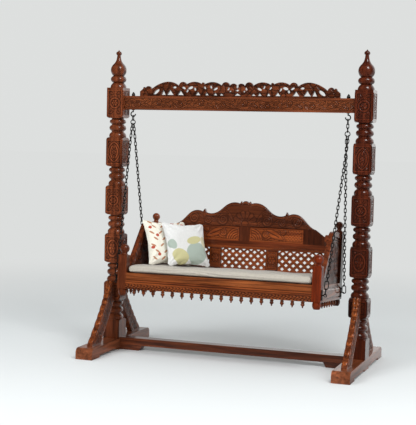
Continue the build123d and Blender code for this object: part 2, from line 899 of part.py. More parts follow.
# ---- bench: frame -------------------------------------------------------------------
def draw_knob(top, radius):
    """Neck and ball of a turned knob on a post that ends at this height."""
    neck = knob_neck_share * radius
    neck_top = top + knob_neck_height
    centre = neck_top + sqrt(radius**2 - neck**2)
    Line((0, top), (radius * 0.85, top))
    ThreePointArc((radius * 0.85, top), (neck * 0.9, (top + neck_top) / 2), (neck, neck_top))
    ThreePointArc((neck, neck_top), (radius, centre), (0, centre + radius))
    Line((0, centre + radius), (0, top))


def make_corner_post(side, way):
    """Square corner post with a bun foot below and a turned knob on top."""
    x, y = side * corner_x, way * corner_y
    height = front_post_height if way < 0 else back_post_height
    knob_radius = front_knob_radius if way < 0 else back_knob_radius
    inner_x = side * (corner_x - corner_half)
    inner_y = way * (corner_y - corner_half)
    rail_y = way * (corner_y + corner_half - rail_thickness / 2)
    rail_x = side * (corner_x + corner_half - rail_thickness / 2)
    tenon = (rail_tenon_thickness + 2 * joint_gap, rail_tenon_height + 2 * joint_gap)
    with BuildPart() as post:
        with BuildSketch(bench_up(x, y, 0)):
            Rectangle(corner_post, corner_post)
        extrude(amount=height)
        chamfer(post.faces().sort_by(Axis(bench.origin, bench.z_dir))[-1].edges(), post_top_chamfer)
        with BuildSketch(bench_front(x, y, 0)):
            with BuildLine():
                Line((0, 0), (corner_half - 5, 0))
                ThreePointArc(
                    (corner_half - 5, 0),
                    (corner_half - 1, -0.45 * bun_height),
                    (bun_foot_radius, -bun_height),
                )
                Line((bun_foot_radius, -bun_height), (0, -bun_height))
                Line((0, -bun_height), (0, 0))
            make_face()
            with BuildLine():
                draw_knob(height, knob_radius)
            make_face()
        revolve(axis=Axis(bench_point(x, y, 0), bench.z_dir))
        with BuildSketch(bench_side(inner_x, rail_y, rail_tenon_centre)):
            Rectangle(*tenon)
        extrude(amount=side * (rail_tenon_length + 1), mode=Mode.SUBTRACT)
        with BuildSketch(bench_front(rail_x, inner_y, rail_tenon_centre)):
            Rectangle(*tenon)
        extrude(amount=-way * (rail_tenon_length + 1), mode=Mode.SUBTRACT)
        with BuildSketch(bench_side(side * bench_outer_x, y, eye_height)):
            with GridLocations(0, screw_spacing, 1, 2):
                Circle(screw_shank_radius + joint_gap)
        extrude(amount=-side * (screw_length - eye_plate_thickness + 1), mode=Mode.SUBTRACT)
    return post.part


def draw_rail_section(face, inward, ledge):
    """Moulded rail: beads along its edges, a hollow under the top one, a ledge for the slats."""
    back = face + inward * rail_thickness
    cut = face + inward * moulding_depth
    hollow_top = rail_height - 2.5 * rail_bead
    hollow_bottom = hollow_top - 2 * rail_bead
    Polyline(
        (face, hollow_bottom),
        (face, 3 * rail_bead),
        (cut, 2.6 * rail_bead),
        (cut, 2.2 * rail_bead),
        (face, 1.8 * rail_bead),
        (face, 0),
        (back, 0),
    )
    if ledge:
        shelf = back - inward * slat_ledge
        shelf_z = rail_height - slat_thickness
        Polyline((back, 0), (back, shelf_z), (shelf, shelf_z), (shelf, rail_height))
        Line((shelf, rail_height), (face, rail_height))
    else:
        Polyline((back, 0), (back, rail_height), (face, rail_height))
    Line((face, rail_height), (face, hollow_top))
    ThreePointArc(
        (face, hollow_top), (cut, (hollow_top + hollow_bottom) / 2), (face, hollow_bottom)
    )


def make_long_rail(way):
    """Front (-1) or back (1) seat rail, tenoned into the corner posts."""
    face = way * (corner_y + corner_half)
    middle_y = way * (corner_y + corner_half - rail_thickness / 2)
    with BuildPart() as rail:
        with BuildSketch(bench_side(-rail_span_x / 2, 0, 0)):
            with BuildLine():
                draw_rail_section(face, -way, True)
            make_face()
        extrude(amount=rail_span_x)
        tenon_x = -rail_span_x / 2 - rail_tenon_length
        with BuildSketch(bench_side(tenon_x, middle_y, rail_tenon_centre)):
            Rectangle(rail_tenon_thickness, rail_tenon_height)
        extrude(amount=-2 * tenon_x)
    return rail.part


def make_side_rail(side):
    """Side seat rail, tenoned into its two corner posts."""
    face = side * (corner_x + corner_half)
    middle_x = side * (corner_x + corner_half - rail_thickness / 2)
    with BuildPart() as rail:
        with BuildSketch(bench_front(0, rail_span_y / 2, 0)):
            with BuildLine():
                draw_rail_section(face, -side, False)
            make_face()
        extrude(amount=rail_span_y)
        tenon_y = rail_span_y / 2 + rail_tenon_length
        with BuildSketch(bench_front(middle_x, tenon_y, rail_tenon_centre)):
            Rectangle(rail_tenon_thickness, rail_tenon_height)
        extrude(amount=2 * tenon_y)
    return rail.part


def make_slats():
    """Seat slats from the front rail's ledge to the back rail's."""
    length = 2 * (corner_y + corner_half - rail_thickness + slat_ledge) - 2 * joint_gap
    pitch = rail_span_x / slat_count
    with BuildPart() as slats:
        with BuildSketch(bench_up(0, 0, rail_height - slat_thickness)):
            with GridLocations(pitch, 0, slat_count, 1):
                Rectangle(pitch - slat_gap, length)
        extrude(amount=slat_thickness)
    return slats.part


def draw_drop():
    """Half outline of a turned drop: neck, bulb, tail and a small ball at its end."""
    ball_centre = drop_ball_radius - drop_length
    tail = ball_centre + sqrt(drop_ball_radius**2 - drop_tail_radius**2)
    Polyline((0, 0), (drop_neck_radius, 0), (drop_neck_radius - 1.5, -0.18 * drop_length))
    Spline(
        (drop_neck_radius - 1.5, -0.18 * drop_length),
        (drop_radius, -0.45 * drop_length),
        (drop_tail_radius, tail),
    )
    ThreePointArc((drop_tail_radius, tail), (drop_ball_radius, ball_centre), (0, -drop_length))
    Line((0, -drop_length), (0, 0))


def make_pendants(count, plane_at):
    """A row of drops; plane_at gives the sketch plane at a distance along the row."""
    with BuildPart() as row:
        for number in range(count):
            base = plane_at((number - (count - 1) / 2) * drop_pitch)
            with BuildSketch(base):
                with BuildLine():
                    draw_drop()
                make_face()
            revolve(axis=Axis(base.origin, bench.z_dir))
    return row.part


def make_front_drops():
    """Row of pendants under the front rail."""
    y = -(corner_y + corner_half - rail_thickness / 2)
    count = round(rail_span_x / drop_pitch - 0.5)
    return make_pendants(count, lambda distance: bench_front(distance, y, 0))


def make_side_drops():
    """Rows of pendants under the two side rails."""
    x = corner_x + corner_half - rail_thickness / 2
    count = round(rail_span_y / drop_pitch - 0.5)
    with BuildPart() as rows:
        for side in (-1, 1):
            add(make_pendants(count, lambda distance: bench_front(side * x, distance, 0)))
    return rows.part


# ---- bench: back --------------------------------------------------------------------
def make_board(points, thickness):
    """Flat board of the back with this outline, midway in the depth of the corner posts."""
    with BuildPart() as board:
        with BuildSketch(bench_front(0, corner_y + thickness / 2, 0)):
            with BuildLine():
                Polyline(*points, close=True)
            make_face()
        extrude(amount=thickness)
    return board.part


def rectangle_points(left, right, bottom, top):
    """Corners of an upright rectangle."""
    return [(left, bottom), (right, bottom), (right, top), (left, top)]


def make_stiles():
    """Uprights of the back: two between the jali panels, a centre one, two ends with shoulders."""
    half = rail_span_x / 2
    with BuildPart() as stiles:
        add(make_board(
            rectangle_points(-centre_stile_half, centre_stile_half, middle_rail_top, crest_bottom),
            back_thickness,
        ))
        for side in (-1, 1):
            edges = (
                rectangle_points(inner_stile_near, inner_stile_far, lower_rail_top, jali_top),
                rectangle_points(end_stile_near, half, lower_rail_top, jali_top),
                [
                    (carved_panel_far, middle_rail_top),
                    (half, middle_rail_top),
                    (half, middle_rail_top + crest_end_rise),
                    (crest_shoulder_x, crest_bottom),
                    (carved_panel_far, crest_bottom),
                ],
            )
            for outline in edges:
                add(make_board([(side * x, z) for x, z in outline], back_thickness))
    return stiles.part


def make_jali(centre_x):
    """Pierced lattice panel: diagonal bars with diamond openings."""
    width = 2 * inner_stile_near
    row = jali_pitch / 2
    height = jali_top - lower_rail_top
    rows = round((height - jali_first_row) / row) + 1
    columns = round(width / jali_pitch) + 1
    half_wide, half_tall = jali_hole_width / 2, jali_hole_height / 2
    hole = [(half_wide, 0), (0, half_tall), (-half_wide, 0), (0, -half_tall)]
    with BuildPart() as panel:
        base = bench_front(centre_x, corner_y + jali_thickness / 2, lower_rail_top)
        with BuildSketch(base):
            with Locations((0, height / 2)):
                Rectangle(width, height)
            for number in range(rows):
                z = min(jali_first_row + number * row, height)
                shift = (number % 2) * row
                spots = [
                    ((index + 0.5) * jali_pitch + shift, z)
                    for index in range(-columns, columns)
                    if abs((index + 0.5) * jali_pitch + shift) < width / 2
                ]
                with Locations(*spots):
                    Polygon(*hole, mode=Mode.SUBTRACT)
        extrude(amount=jali_thickness)
    return panel.part


def make_carved_panels():
    """Two panels for the carving, between the middle rail and the crest."""
    with BuildPart() as panels:
        for side in (-1, 1):
            near, far = sorted((side * centre_stile_half, side * carved_panel_far))
            outline = rectangle_points(near, far, middle_rail_top, crest_bottom)
            add(make_board(outline, panel_thickness))
    return panels.part


def make_crest():
    """Crest board: a high middle hump, a leaf tip and a shoulder hump to each side."""
    with BuildPart() as crest:
        with BuildSketch(bench_front(0, corner_y + back_thickness / 2, 0)):
            with BuildLine():
                Line((0, crest_bottom), (crest_shoulder_x, crest_bottom))
                Spline(
                    (crest_shoulder_x, crest_bottom),
                    (418, 502),
                    (375, 536),
                    (342, 543),
                    (306, 534),
                )
                Polyline((306, 534), (291, 555), (281, 531))
                Spline((281, 531), (245, 524), (195, 538), (129, 590), (80, 606), (41, 600))
                Polyline((41, 600), (31, 616), (22, 603))
                ThreePointArc((22, 603), (14, 613), (0, 617))
                Line((0, 617), (0, crest_bottom))
            make_face()
            mirror(about=Plane.YZ)
        extrude(amount=back_thickness)
    return crest.part


# ---- bench: arms --------------------------------------------------------------------
def arm_bend_start(inset):
    """Where the slanting part of the arm turns into its bend, this far inside the outer edge."""
    radius = arm_bend_radius - inset
    slant = radians(arm_slant)
    return (
        arm_bend_y - radius * sin(slant),
        arm_top - arm_bend_radius + radius * cos(slant),
    )


def arm_foot_y(inset):
    """Where that edge of the slanting part stands on the arm's base rail."""
    bend_y, bend_z = arm_bend_start(inset)
    return bend_y - (bend_z - arm_foot_z) / tan(radians(arm_slant))


def draw_arm_curve(inset):
    """Outer edge (inset 0) or inner edge of the bent arm rail, from its foot to the back post."""
    slant = radians(arm_slant)
    start = arm_bend_start(inset)
    Line((arm_foot_y(inset), arm_foot_z), start)
    JernArc(start, (cos(slant), sin(slant)), arm_bend_radius - inset, -arm_slant)
    Line((arm_bend_y, arm_top - inset), (rail_span_y / 2, arm_top - arm_fall - inset))


def make_arm_rail(side):
    """Bent arm rail: up in a slant, over a head with a round scroll, level to the back post."""
    back = rail_span_y / 2
    back_top = arm_top - arm_fall
    inner_x = side * (corner_x - arm_rail_thickness / 2)
    with BuildPart() as rail:
        with BuildSketch(bench_side(side * corner_x - arm_rail_thickness / 2, 0, 0)):
            with BuildLine():
                draw_arm_curve(0)
                draw_arm_curve(arm_band)
                Line((back, back_top), (back, back_top - arm_band))
                Line((arm_foot_y(0), arm_foot_z), (arm_foot_y(arm_band), arm_foot_z))
            make_face()
        extrude(amount=arm_rail_thickness)
        with BuildSketch(bench_side(inner_x, 0, 0)):
            with Locations(arm_bend_start(arm_scroll_radius)):
                Circle(arm_scroll_radius)
        extrude(amount=-side * arm_scroll_depth)
        scroll_face = rail.faces().sort_by(Axis.X, reverse=side > 0)[-1]
        fillet(scroll_face.edges(), arm_scroll_edge)
    return rail.part


def make_arm_panel(side):
    """Board that fills the arm under its bent rail."""
    back = rail_span_y / 2
    with BuildPart() as panel:
        with BuildSketch(bench_side(side * corner_x - arm_panel_thickness / 2, 0, 0)):
            with BuildLine():
                draw_arm_curve(arm_band)
                Polyline(
                    (back, arm_top - arm_fall - arm_band),
                    (back, arm_foot_z),
                    (arm_foot_y(arm_band), arm_foot_z),
                )
            make_face()
        extrude(amount=arm_panel_thickness)
    return panel.part


def make_arm_bases():
    """Flat rails under the two arms, on top of the side rails."""
    with BuildPart() as bases:
        with BuildSketch(bench_up(0, 0, rail_height)):
            with Locations((-corner_x, 0), (corner_x, 0)):
                Rectangle(arm_base_thickness, rail_span_y)
        extrude(amount=arm_base_height)
    return bases.part


# ---- soft goods ---------------------------------------------------------------------
def make_mattress():
    """Seat mattress on the slats, between the corner posts and the back."""
    width = rail_span_x - 2 * mattress_side_gap
    front = -(corner_y + corner_half) + 12
    back = back_face - 6
    with BuildPart() as mattress:
        with BuildSketch(bench_up(0, (front + back) / 2, rail_height + soft_gap)):
            RectangleRounded(width, back - front, mattress_round * 2)
        extrude(amount=mattress_thickness)
        fillet(mattress.faces().sort_by(Axis(bench.origin, bench.z_dir))[-1].edges(), mattress_round)
    return mattress.part


def make_cushion(x, y):
    """Throw cushion, thick in the middle and thin at its edges, turned and leaning back."""
    turn = radians(cushion_turn)
    lean = radians(cushion_lean)
    facing = (
        bench.x_dir * (sin(turn) * cos(lean))
        - bench.y_dir * (cos(turn) * cos(lean))
        + bench.z_dir * sin(lean)
    )
    width_dir = bench.x_dir * cos(turn) + bench.y_dir * sin(turn)
    z = mattress_top + soft_gap + cushion_side / 2 * cos(lean)
    middle = Plane(bench_point(x, y, z), x_dir=width_dir, z_dir=facing)
    with BuildPart() as cushion:
        for way in (-1, 1):
            with BuildSketch(middle):
                RectangleRounded(cushion_side, cushion_side, 24)
            with BuildSketch(middle.offset(way * 0.55 * cushion_half_thickness)):
                RectangleRounded(0.8 * cushion_side, 0.8 * cushion_side, 24)
            with BuildSketch(middle.offset(way * cushion_half_thickness)):
                RectangleRounded(cushion_crown_side, cushion_crown_side, 24)
            loft(ruled=True)
    return cushion.part


def main():
    """Build every piece and write it."""
    os.makedirs("parts", exist_ok=True)
    sides = (("left", -1), ("right", 1))
    ways = (("front", -1), ("back", 1))
    for name, side in sides:
        write_part(make_foot(side), f"{name}_foot_beam")
        write_part(make_post(side), f"{name}_post")
        write_part(make_finial(side), f"{name}_finial")
        write_part(make_hook(side), f"{name}_hook_bolt")
        write_part(make_hanger(side), f"{name}_hanger_ring")
        write_part(make_split_ring(side), f"{name}_split_ring")
        write_part(make_side_rail(side), f"{name}_side_rail")
        write_part(make_arm_rail(side), f"{name}_arm_rail")
        write_part(make_arm_panel(side), f"{name}_arm_panel")
        for end, way in ways:
            write_part(make_brace(side, way), f"{name}_{end}_brace")
            write_part(make_corner_post(side, way), f"{end}_{name}_corner_post")
            drop, chain = make_corner_line(side, way)
            write_part(drop, f"{name}_{end}_drop_ring")
            write_part(chain, f"{name}_{end}_chain")
    write_part(make_foot_pads(), "foot_pads")
    write_part(make_stretcher(), "stretcher")
    write_part(make_stretcher_blocks(), "stretcher_blocks")
    write_part(make_beam(), "top_beam")
    write_part(make_cresting(), "pierced_cresting")
    write_part(make_hook_nuts(), "hook_nuts")
    write_part(make_eye_plates(), "eye_plates")
    write_part(make_eye_screws(), "eye_plate_screws")
    write_part(make_long_rail(-1), "front_rail")
    write_part(make_long_rail(1), "back_rail")
    write_part(make_slats(), "seat_slats")
    write_part(make_front_drops(), "front_drops")
    write_part(make_side_drops(), "side_drops")
    half = rail_span_x / 2
    lower_rail = rectangle_points(-half, half, rail_height, lower_rail_top)
    middle_rail = rectangle_points(-half, half, jali_top, middle_rail_top)
    write_part(make_board(lower_rail, back_thickness), "lower_back_rail")
    write_part(make_board(middle_rail, back_thickness), "middle_back_rail")
    write_part(make_stiles(), "back_stiles")
    jali_x = (inner_stile_far + end_stile_near) / 2
    write_part(make_jali(-jali_x), "left_jali_panel")
    write_part(make_jali(0), "centre_jali_panel")
    write_part(make_jali(jali_x), "right_jali_panel")
    write_part(make_carved_panels(), "carved_back_panels")
    write_part(make_crest(), "crest_board")
    write_part(make_arm_bases(), "arm_base_rails")
    write_part(make_mattress(), "mattress")
    write_part(make_cushion(*sprig_cushion_place), "sprig_cushion")
    write_part(make_cushion(*leaf_cushion_place), "leaf_cushion")


main()
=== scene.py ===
import math

import bpy
import numpy as np
from mathutils import Matrix, Vector


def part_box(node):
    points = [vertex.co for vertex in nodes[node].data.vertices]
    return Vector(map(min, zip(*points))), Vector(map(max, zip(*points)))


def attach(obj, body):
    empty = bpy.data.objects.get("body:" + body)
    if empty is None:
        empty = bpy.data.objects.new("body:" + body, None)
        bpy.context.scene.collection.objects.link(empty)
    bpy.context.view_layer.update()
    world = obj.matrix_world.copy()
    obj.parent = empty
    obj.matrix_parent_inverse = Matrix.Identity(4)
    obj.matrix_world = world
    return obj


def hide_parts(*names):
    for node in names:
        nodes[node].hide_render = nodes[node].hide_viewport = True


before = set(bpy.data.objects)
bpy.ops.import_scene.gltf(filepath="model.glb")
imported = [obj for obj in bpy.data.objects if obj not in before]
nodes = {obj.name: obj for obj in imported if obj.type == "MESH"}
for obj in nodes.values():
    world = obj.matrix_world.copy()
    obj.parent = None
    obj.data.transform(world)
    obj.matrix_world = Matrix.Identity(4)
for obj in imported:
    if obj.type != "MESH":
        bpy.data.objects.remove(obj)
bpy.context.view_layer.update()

# ---- Feet and stretcher ------------------------------------------------------------------
# Each foot is one heavy teak beam with rounded noses, on three pads that alone touch the floor.
# The stretcher is tenoned between them. All is oiled dark red-brown and polished, grain lengthwise.


def feed(tree, node, sockets):
    """Set a node's inputs: linked where the value is another node's output, else to the plain value."""
    for key, value in sockets.items():
        if isinstance(value, bpy.types.NodeSocket):
            tree.links.new(value, node.inputs[key])
        else:
            node.inputs[key].default_value = value


def add_node(tree, kind, sockets, **settings):
    """Add one shader node with these settings and inputs."""
    node = tree.nodes.new(f"ShaderNode{kind}")
    for key, value in settings.items():
        setattr(node, key, value)
    feed(tree, node, sockets)
    return node


def new_group(name, takes, gives):
    """Node group whose inputs and outputs have these kinds: its tree, its start's outputs and its end."""
    group = bpy.data.node_groups.new(name, "ShaderNodeTree")
    for sockets, way in ((takes, "INPUT"), (gives, "OUTPUT")):
        for socket, kind in sockets.items():
            group.interface.new_socket(socket, in_out=way, socket_type=f"NodeSocket{kind}")
    return group, group.nodes.new("NodeGroupInput").outputs, group.nodes.new("NodeGroupOutput")


def new_material(name):
    """A material with its node tree and its shader."""
    material = bpy.data.materials.new(name)
    material.use_nodes = True
    return material, material.node_tree, material.node_tree.nodes["Principled BSDF"]


def make_grain_group():
    """Colour of polished teak, from a point whose Z runs along the grain.

    Wavy streaks (noise squeezed across the grain) lie over broad clouds, with fine open pores;
    hollow 0 to 1 turns the colour to near black, as staining and painted shade in the carving's recesses.
    """
    tree, start, end = new_group(
        "teak grain",
        {"Along": "Vector", "Dark": "Color", "Light": "Color", "Hollow": "Float"},
        {"Color": "Color", "Roughness": "Float", "Height": "Float"},
    )

    def noise(stretch, detail, warp, low, high):
        """Noise of the stretched point, with its range from low to high spread over 0 to 1."""
        spread = add_node(tree, "VectorMath", {0: start["Along"], 1: stretch}, operation="MULTIPLY")
        sockets = {"Vector": spread.outputs[0], "Scale": 1.0, "Detail": detail, "Roughness": 0.6}
        found = add_node(tree, "TexNoise", {**sockets, "Distortion": warp})
        sockets = {"Value": found.outputs["Fac"], "From Min": low, "From Max": high}
        return add_node(tree, "MapRange", sockets).outputs["Result"]

    def mix(factor, first, second, blend="MIX"):
        sockets = {0: factor, 6: first, 7: second}
        return add_node(tree, "Mix", sockets, data_type="RGBA", blend_type=blend).outputs[2]

    streaks = noise((48.0, 48.0, 2.4), 6.0, 0.7, 0.36, 0.66)
    clouds = noise((6.0, 6.0, 1.6), 3.0, 0.0, 0.32, 0.68)
    pores = noise((560.0, 560.0, 18.0), 2.0, 0.0, 0.57, 0.72)
    board = mix(streaks, start["Dark"], start["Light"])
    cloudy = mix(clouds, (0.7, 0.58, 0.46, 1.0), (1.2, 1.04, 0.86, 1.0))
    tone = mix(1.0, board, cloudy, "MULTIPLY")
    pored = mix(pores, tone, (0.02, 0.006, 0.003, 1.0))
    soft_pores = mix(0.5, tone, pored)
    # Painted shade with staining: the colour turns near black in the carving's hollows.
    stained_and_shaded = mix(start["Hollow"], soft_pores, (0.013, 0.004, 0.002, 1.0))
    rough = add_node(tree, "Math", {0: clouds, 1: 0.14, 2: 0.3}, operation="MULTIPLY_ADD")
    height = add_node(tree, "Math", {0: pores, 1: -0.6, 2: streaks}, operation="MULTIPLY_ADD")
    feed(tree, end, {"Color": stained_and_shaded, "Roughness": rough.outputs[0], "Height": height.outputs[0]})
    return tree


teak_grain = make_grain_group()
brace_slope = math.radians(38)
grain_turns = {
    "X": (0, -math.pi / 2, 0),
    "Y": (math.pi / 2, 0, 0),
    "Z": (0, 0, 0),
    "front slope": (-brace_slope, 0, 0),
    "back slope": (brace_slope, 0, 0),
}


def teak(name, grain, dark, light, shift=0.0, carved=0.0, polish=0.75):
    """Polished teak with its grain along X, Y, Z or a slope.

    Carved is how dark its hollows turn, as staining and painted shade, and they are left dull. Polish is
    the weight of the clear coat elsewhere.
    """
    material, tree, shader = new_material(name)
    place = add_node(tree, "TexCoord", {})
    shifted = (shift, shift * 0.7, shift * 1.3)
    sockets = {"Vector": place.outputs["Object"], "Location": shifted, "Rotation": grain_turns[grain]}
    turn = add_node(tree, "Mapping", sockets)
    sockets = {"Along": turn.outputs["Vector"], "Dark": (*dark, 1.0), "Light": (*light, 1.0)}
    board = add_node(tree, "Group", sockets, node_tree=teak_grain)
    bump = add_node(tree, "Bump", {"Strength": 0.15, "Distance": 0.001, "Height": board.outputs["Height"]})
    feed(tree, shader, {
        "Base Color": board.outputs["Color"], "Roughness": board.outputs["Roughness"],
        "Normal": bump.outputs["Normal"], "Specular IOR Level": 0.18,
        "Coat Weight": polish, "Coat Roughness": 0.1,
    })
    if carved:
        depth = add_node(tree, "Attribute", {}, attribute_name="hollow").outputs["Fac"]
        # Painted shade with staining: the hollows darken by carved times their hollow value.
        stain_and_shade = add_node(tree, "Math", {0: depth, 1: carved}, operation="MULTIPLY")
        dull = add_node(tree, "MapRange", {"Value": depth, "To Min": polish, "To Max": 0})
        feed(tree, board, {"Hollow": stain_and_shade.outputs[0]})
        feed(tree, shader, {"Coat Weight": dull.outputs["Result"]})
    return material


def dress(material, *names):
    """Give CAD nodes this material in every slot."""
    for name in names:
        for socket in nodes[name].material_slots:
            socket.material = material


teak_dark, teak_light = (0.045, 0.012, 0.005), (0.165, 0.046, 0.018)
# The feet are a lighter copy of the stand's teak: painted light, for the light on their ends and fronts.
foot_teak = teak("foot teak", "Y", (0.08, 0.027, 0.013), (0.28, 0.095, 0.045), 0.9)
dress(foot_teak, "left_foot_beam", "right_foot_beam", "foot_pads")
dress(teak("stretcher teak", "X", teak_dark, teak_light, 0.4), "stretcher", "stretcher_blocks")

# ---- Posts and finials -------------------------------------------------------------------
# Each post is one square length of teak, turned to beads and coves between its blocks, with a
# turned finial on a dowel. The blocks' four faces are carved: a raised border round a motif.
carving_low, carving_depth = 0.0004, 0.0026


def grid(across, along):
    """Two arrays that run over a board, from the (low, high, count) of each direction."""
    return np.meshgrid(np.linspace(*across), np.linspace(*along), indexing="ij")


def stand_out(height, depth=carving_depth):
    """How far a carving of this height, 0 in its grooves to 1, stands out of its face."""
    return carving_low + depth * height


def carved_piece(name, material, body, corners, faces, hollow):
    """Smooth mesh of carved teak that rides on a body; hollow is how much stain each point holds."""
    mesh = bpy.data.meshes.new(name)
    mesh.from_pydata(np.concatenate(corners).tolist(), [], faces)
    mesh.attributes.new("hollow", "FLOAT", "POINT").data.foreach_set("value", hollow)
    mesh.polygons.foreach_set("use_smooth", np.ones(len(faces), bool))
    mesh.materials.append(material)
    piece = bpy.data.objects.new(name, mesh)
    bpy.context.scene.collection.objects.link(piece)
    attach(piece, body)
    return mesh


def carve(name, material, body, boards):
    """One closed thin carving over faces of the frame.

    Each board is (place, out, height): a grid of points on the face, the unit vector out of it and
    how far each point is raised. Its front is place + out * height, its back lies 1 mm inside the
    face, and a wall joins their rims. Hollow is 1 in the grooves, lower on the ground, 0 on what
    stands up; it darkens the colour as staining and painted shade.
    """
    sunk, stain_shade_top, stain_shade_depth = 0.001, 0.0028, 0.0022
    corners, faces, hollows = [], [], []
    first = 0
    for place, out, height in boards:
        columns, rows = height.shape
        front = np.arange(columns * rows).reshape(columns, rows)
        rim = np.concatenate([front[:, 0], front[-1, 1:], front[-2::-1, -1], front[0, -2:0:-1]])
        back = np.arange(len(rim)) + front.size
        ahead = np.roll(np.arange(len(rim)), -1)
        quads = np.stack([front[:-1, :-1], front[1:, :-1], front[1:, 1:], front[:-1, 1:]], -1)
        walls = np.stack([rim, back, back[ahead], rim[ahead]], -1)
        flat = place.reshape(-1, 3)
        outward = np.broadcast_to(out, place.shape).reshape(-1, 3)
        corners += [flat + outward * height.reshape(-1, 1), flat[rim] - outward[rim] * sunk]
        # Painted shade with staining: the lower a point stands, the darker its colour.
        hollow = (np.clip((stain_shade_top - height) / stain_shade_depth, 0, 1) ** 1.6).reshape(-1)
        hollows += [hollow, np.zeros(len(rim))]
        faces += (np.concatenate([quads.reshape(-1, 4), walls]) + first).tolist()
        faces.append((back[::-1] + first).tolist())
        first += front.size + len(rim)
    mesh = carved_piece(name, material, body, corners, faces, np.concatenate(hollows))
    mesh.set_sharp_from_angle(angle=1.0)


def raise_motif(height, gap, size, groove=0.005):
    """Lay a motif over carved ground: a dome where gap < 0, size deep at its middle, then a groove."""
    dome = 0.45 + 0.55 * np.sqrt(np.clip(1 - (1 + gap / size) ** 2, 0, 1))
    return np.where(gap < 0, dome, np.where(gap < groove, 0.0, height))


def leaf(height, x, z, at, turn, long, wide):
    """Lay a pointed leaf from `at`, turned from X, half as wide as wide * sin(pi s), with a cut midrib."""
    along = (x - at[0]) * math.cos(turn) + (z - at[1]) * math.sin(turn)
    side = (z - at[1]) * math.cos(turn) - (x - at[0]) * math.sin(turn)
    over = np.maximum(np.maximum(-along, along - long), 0)
    half = wide * np.sin(np.pi * np.clip(along / long, 0, 1)) ** 0.8
    gap = np.where(over > 0, np.hypot(side, over), np.abs(side) - half)
    laid = raise_motif(height, gap, wide)
    midrib = (np.abs(side) < 0.14 * wide + 0.0004) & (along > 0.1 * long) & (along < 0.8 * long)
    return np.where(midrib, 0.1, laid)


def flower(height, x, z, at, radius, petals):
    """Lay an open flower: petals out to radius * (0.7 + 0.3 |cos|), cut between, round a boss."""
    run = np.hypot(x - at[0], z - at[1])
    lobe = np.abs(np.cos(np.arctan2(z - at[1], x - at[0]) * petals / 2))
    laid = raise_motif(height, run - radius * (0.7 + 0.3 * lobe), 0.5 * radius)
    laid = np.where((lobe < 0.32) & (run < radius) & (run > 0.3 * radius), 0.05, laid)
    return raise_motif(laid, run - 0.28 * radius, 0.28 * radius, 0.1 * radius)


def curl(height, x, z, at, radius, start, way):
    """Lay a scroll: a rib along the spiral whose radius grows by 0.45 of the whole with each turn."""
    run = np.hypot(x - at[0], z - at[1])
    turn = way * (np.arctan2(z - at[1], x - at[0]) - start) / (2 * np.pi)
    pitch = 0.45 * radius
    gap = np.abs((run / pitch - turn + 0.5) % 1.0 - 0.5) * pitch - 0.3 * pitch
    return raise_motif(height, np.maximum(gap, run - radius), 0.3 * pitch)


def spray(height, x, z, leaves, scrolls):
    """Lay leaves of (at, turn, long, wide), then scrolls of (at, radius, start, way)."""
    for laid in leaves:
        height = leaf(height, x, z, *laid)
    for laid in scrolls:
        height = curl(height, x, z, *laid)
    return height


def border(height, x, z, half_width, half_height, band):
    """Lay a raised frame round a rectangle, with a groove inside it."""
    inside = np.minimum(half_width - np.abs(x), half_height - np.abs(z))
    return np.where(inside < band, 0.85, np.where(inside < band + 0.0045, 0.0, height))


def block_carving(x, z, half_width, half_height, kind):
    """Height of a post block's carving: border, motif by kind and leaves in the corners."""
    height = np.full_like(x, 0.55)
    for way_x in (-1, 1):
        for way_z in (-1, 1):
            place = (way_x * (half_width - 0.013), way_z * (half_height - 0.014))
            turn = math.atan2(-way_z * 2.2, -way_x * 0.7)
            height = leaf(height, x, z, place, turn, 0.8 * half_height, 0.0075)
            height = leaf(height, x, z, place, math.atan2(-way_z * 0.5, -way_x), 0.03, 0.006)
    if kind == "rosette":
        height = raise_motif(height, np.abs(np.hypot(x, z) - 0.033) - 0.005, 0.005)
        height = flower(height, x, z, (0, 0), 0.022, 6)
    if kind == "mandorla":
        tall = 0.84 * half_height
        swell = np.hypot(np.abs(x) + 0.5 * tall, z)
        for reach in (1.1, 0.88):
            height = raise_motif(height, np.abs(swell - reach * tall) - 0.0045, 0.0045)
        height = flower(height, x, z, (0, 0), 0.015, 4)
        for way in (-1, 1):
            height = leaf(height, x, z, (0, way * 0.02), way * math.pi / 2, 0.026, 0.006)
    if kind == "oval":
        run = np.hypot(x / 0.036, z / 0.054)
        height = raise_motif(height, np.abs(run - 1) * 0.042 - 0.005, 0.005)
        height = flower(height, x, z * 0.72, (0, 0), 0.025, 6)
    if kind == "small":
        height = flower(height, x, z, (0, 0), 0.021, 6)
    height = border(height, x, z, half_width, half_height, 0.0055)
    return stand_out(height)


post_half = 0.0585


def block_boards(axis_x, blocks):
    """Carved faces of one post: four sides of each block from (bottom, top, kind)."""
    top_margin, side_margin = 0.017, 0.006
    boards = []
    for bottom, top, kind in blocks:
        half_height = (top - bottom) / 2 - top_margin
        half_width = post_half - side_margin
        rows = int(half_height / 0.00125)
        x, z = grid((-half_width, half_width, 42), (-half_height, half_height, rows))
        height = block_carving(x, z, half_width, half_height, kind)
        for quarter in range(4):
            angle = quarter * math.pi / 2
            out = np.array((math.sin(angle), -math.cos(angle), 0.0))
            across = np.array((math.cos(angle), math.sin(angle), 0.0))
            centre = np.array((axis_x, 0, (bottom + top) / 2)) + out * post_half
            place = centre + x[..., None] * across + z[..., None] * np.array((0, 0, 1.0))
            boards.append((place, out, height))
    return boards


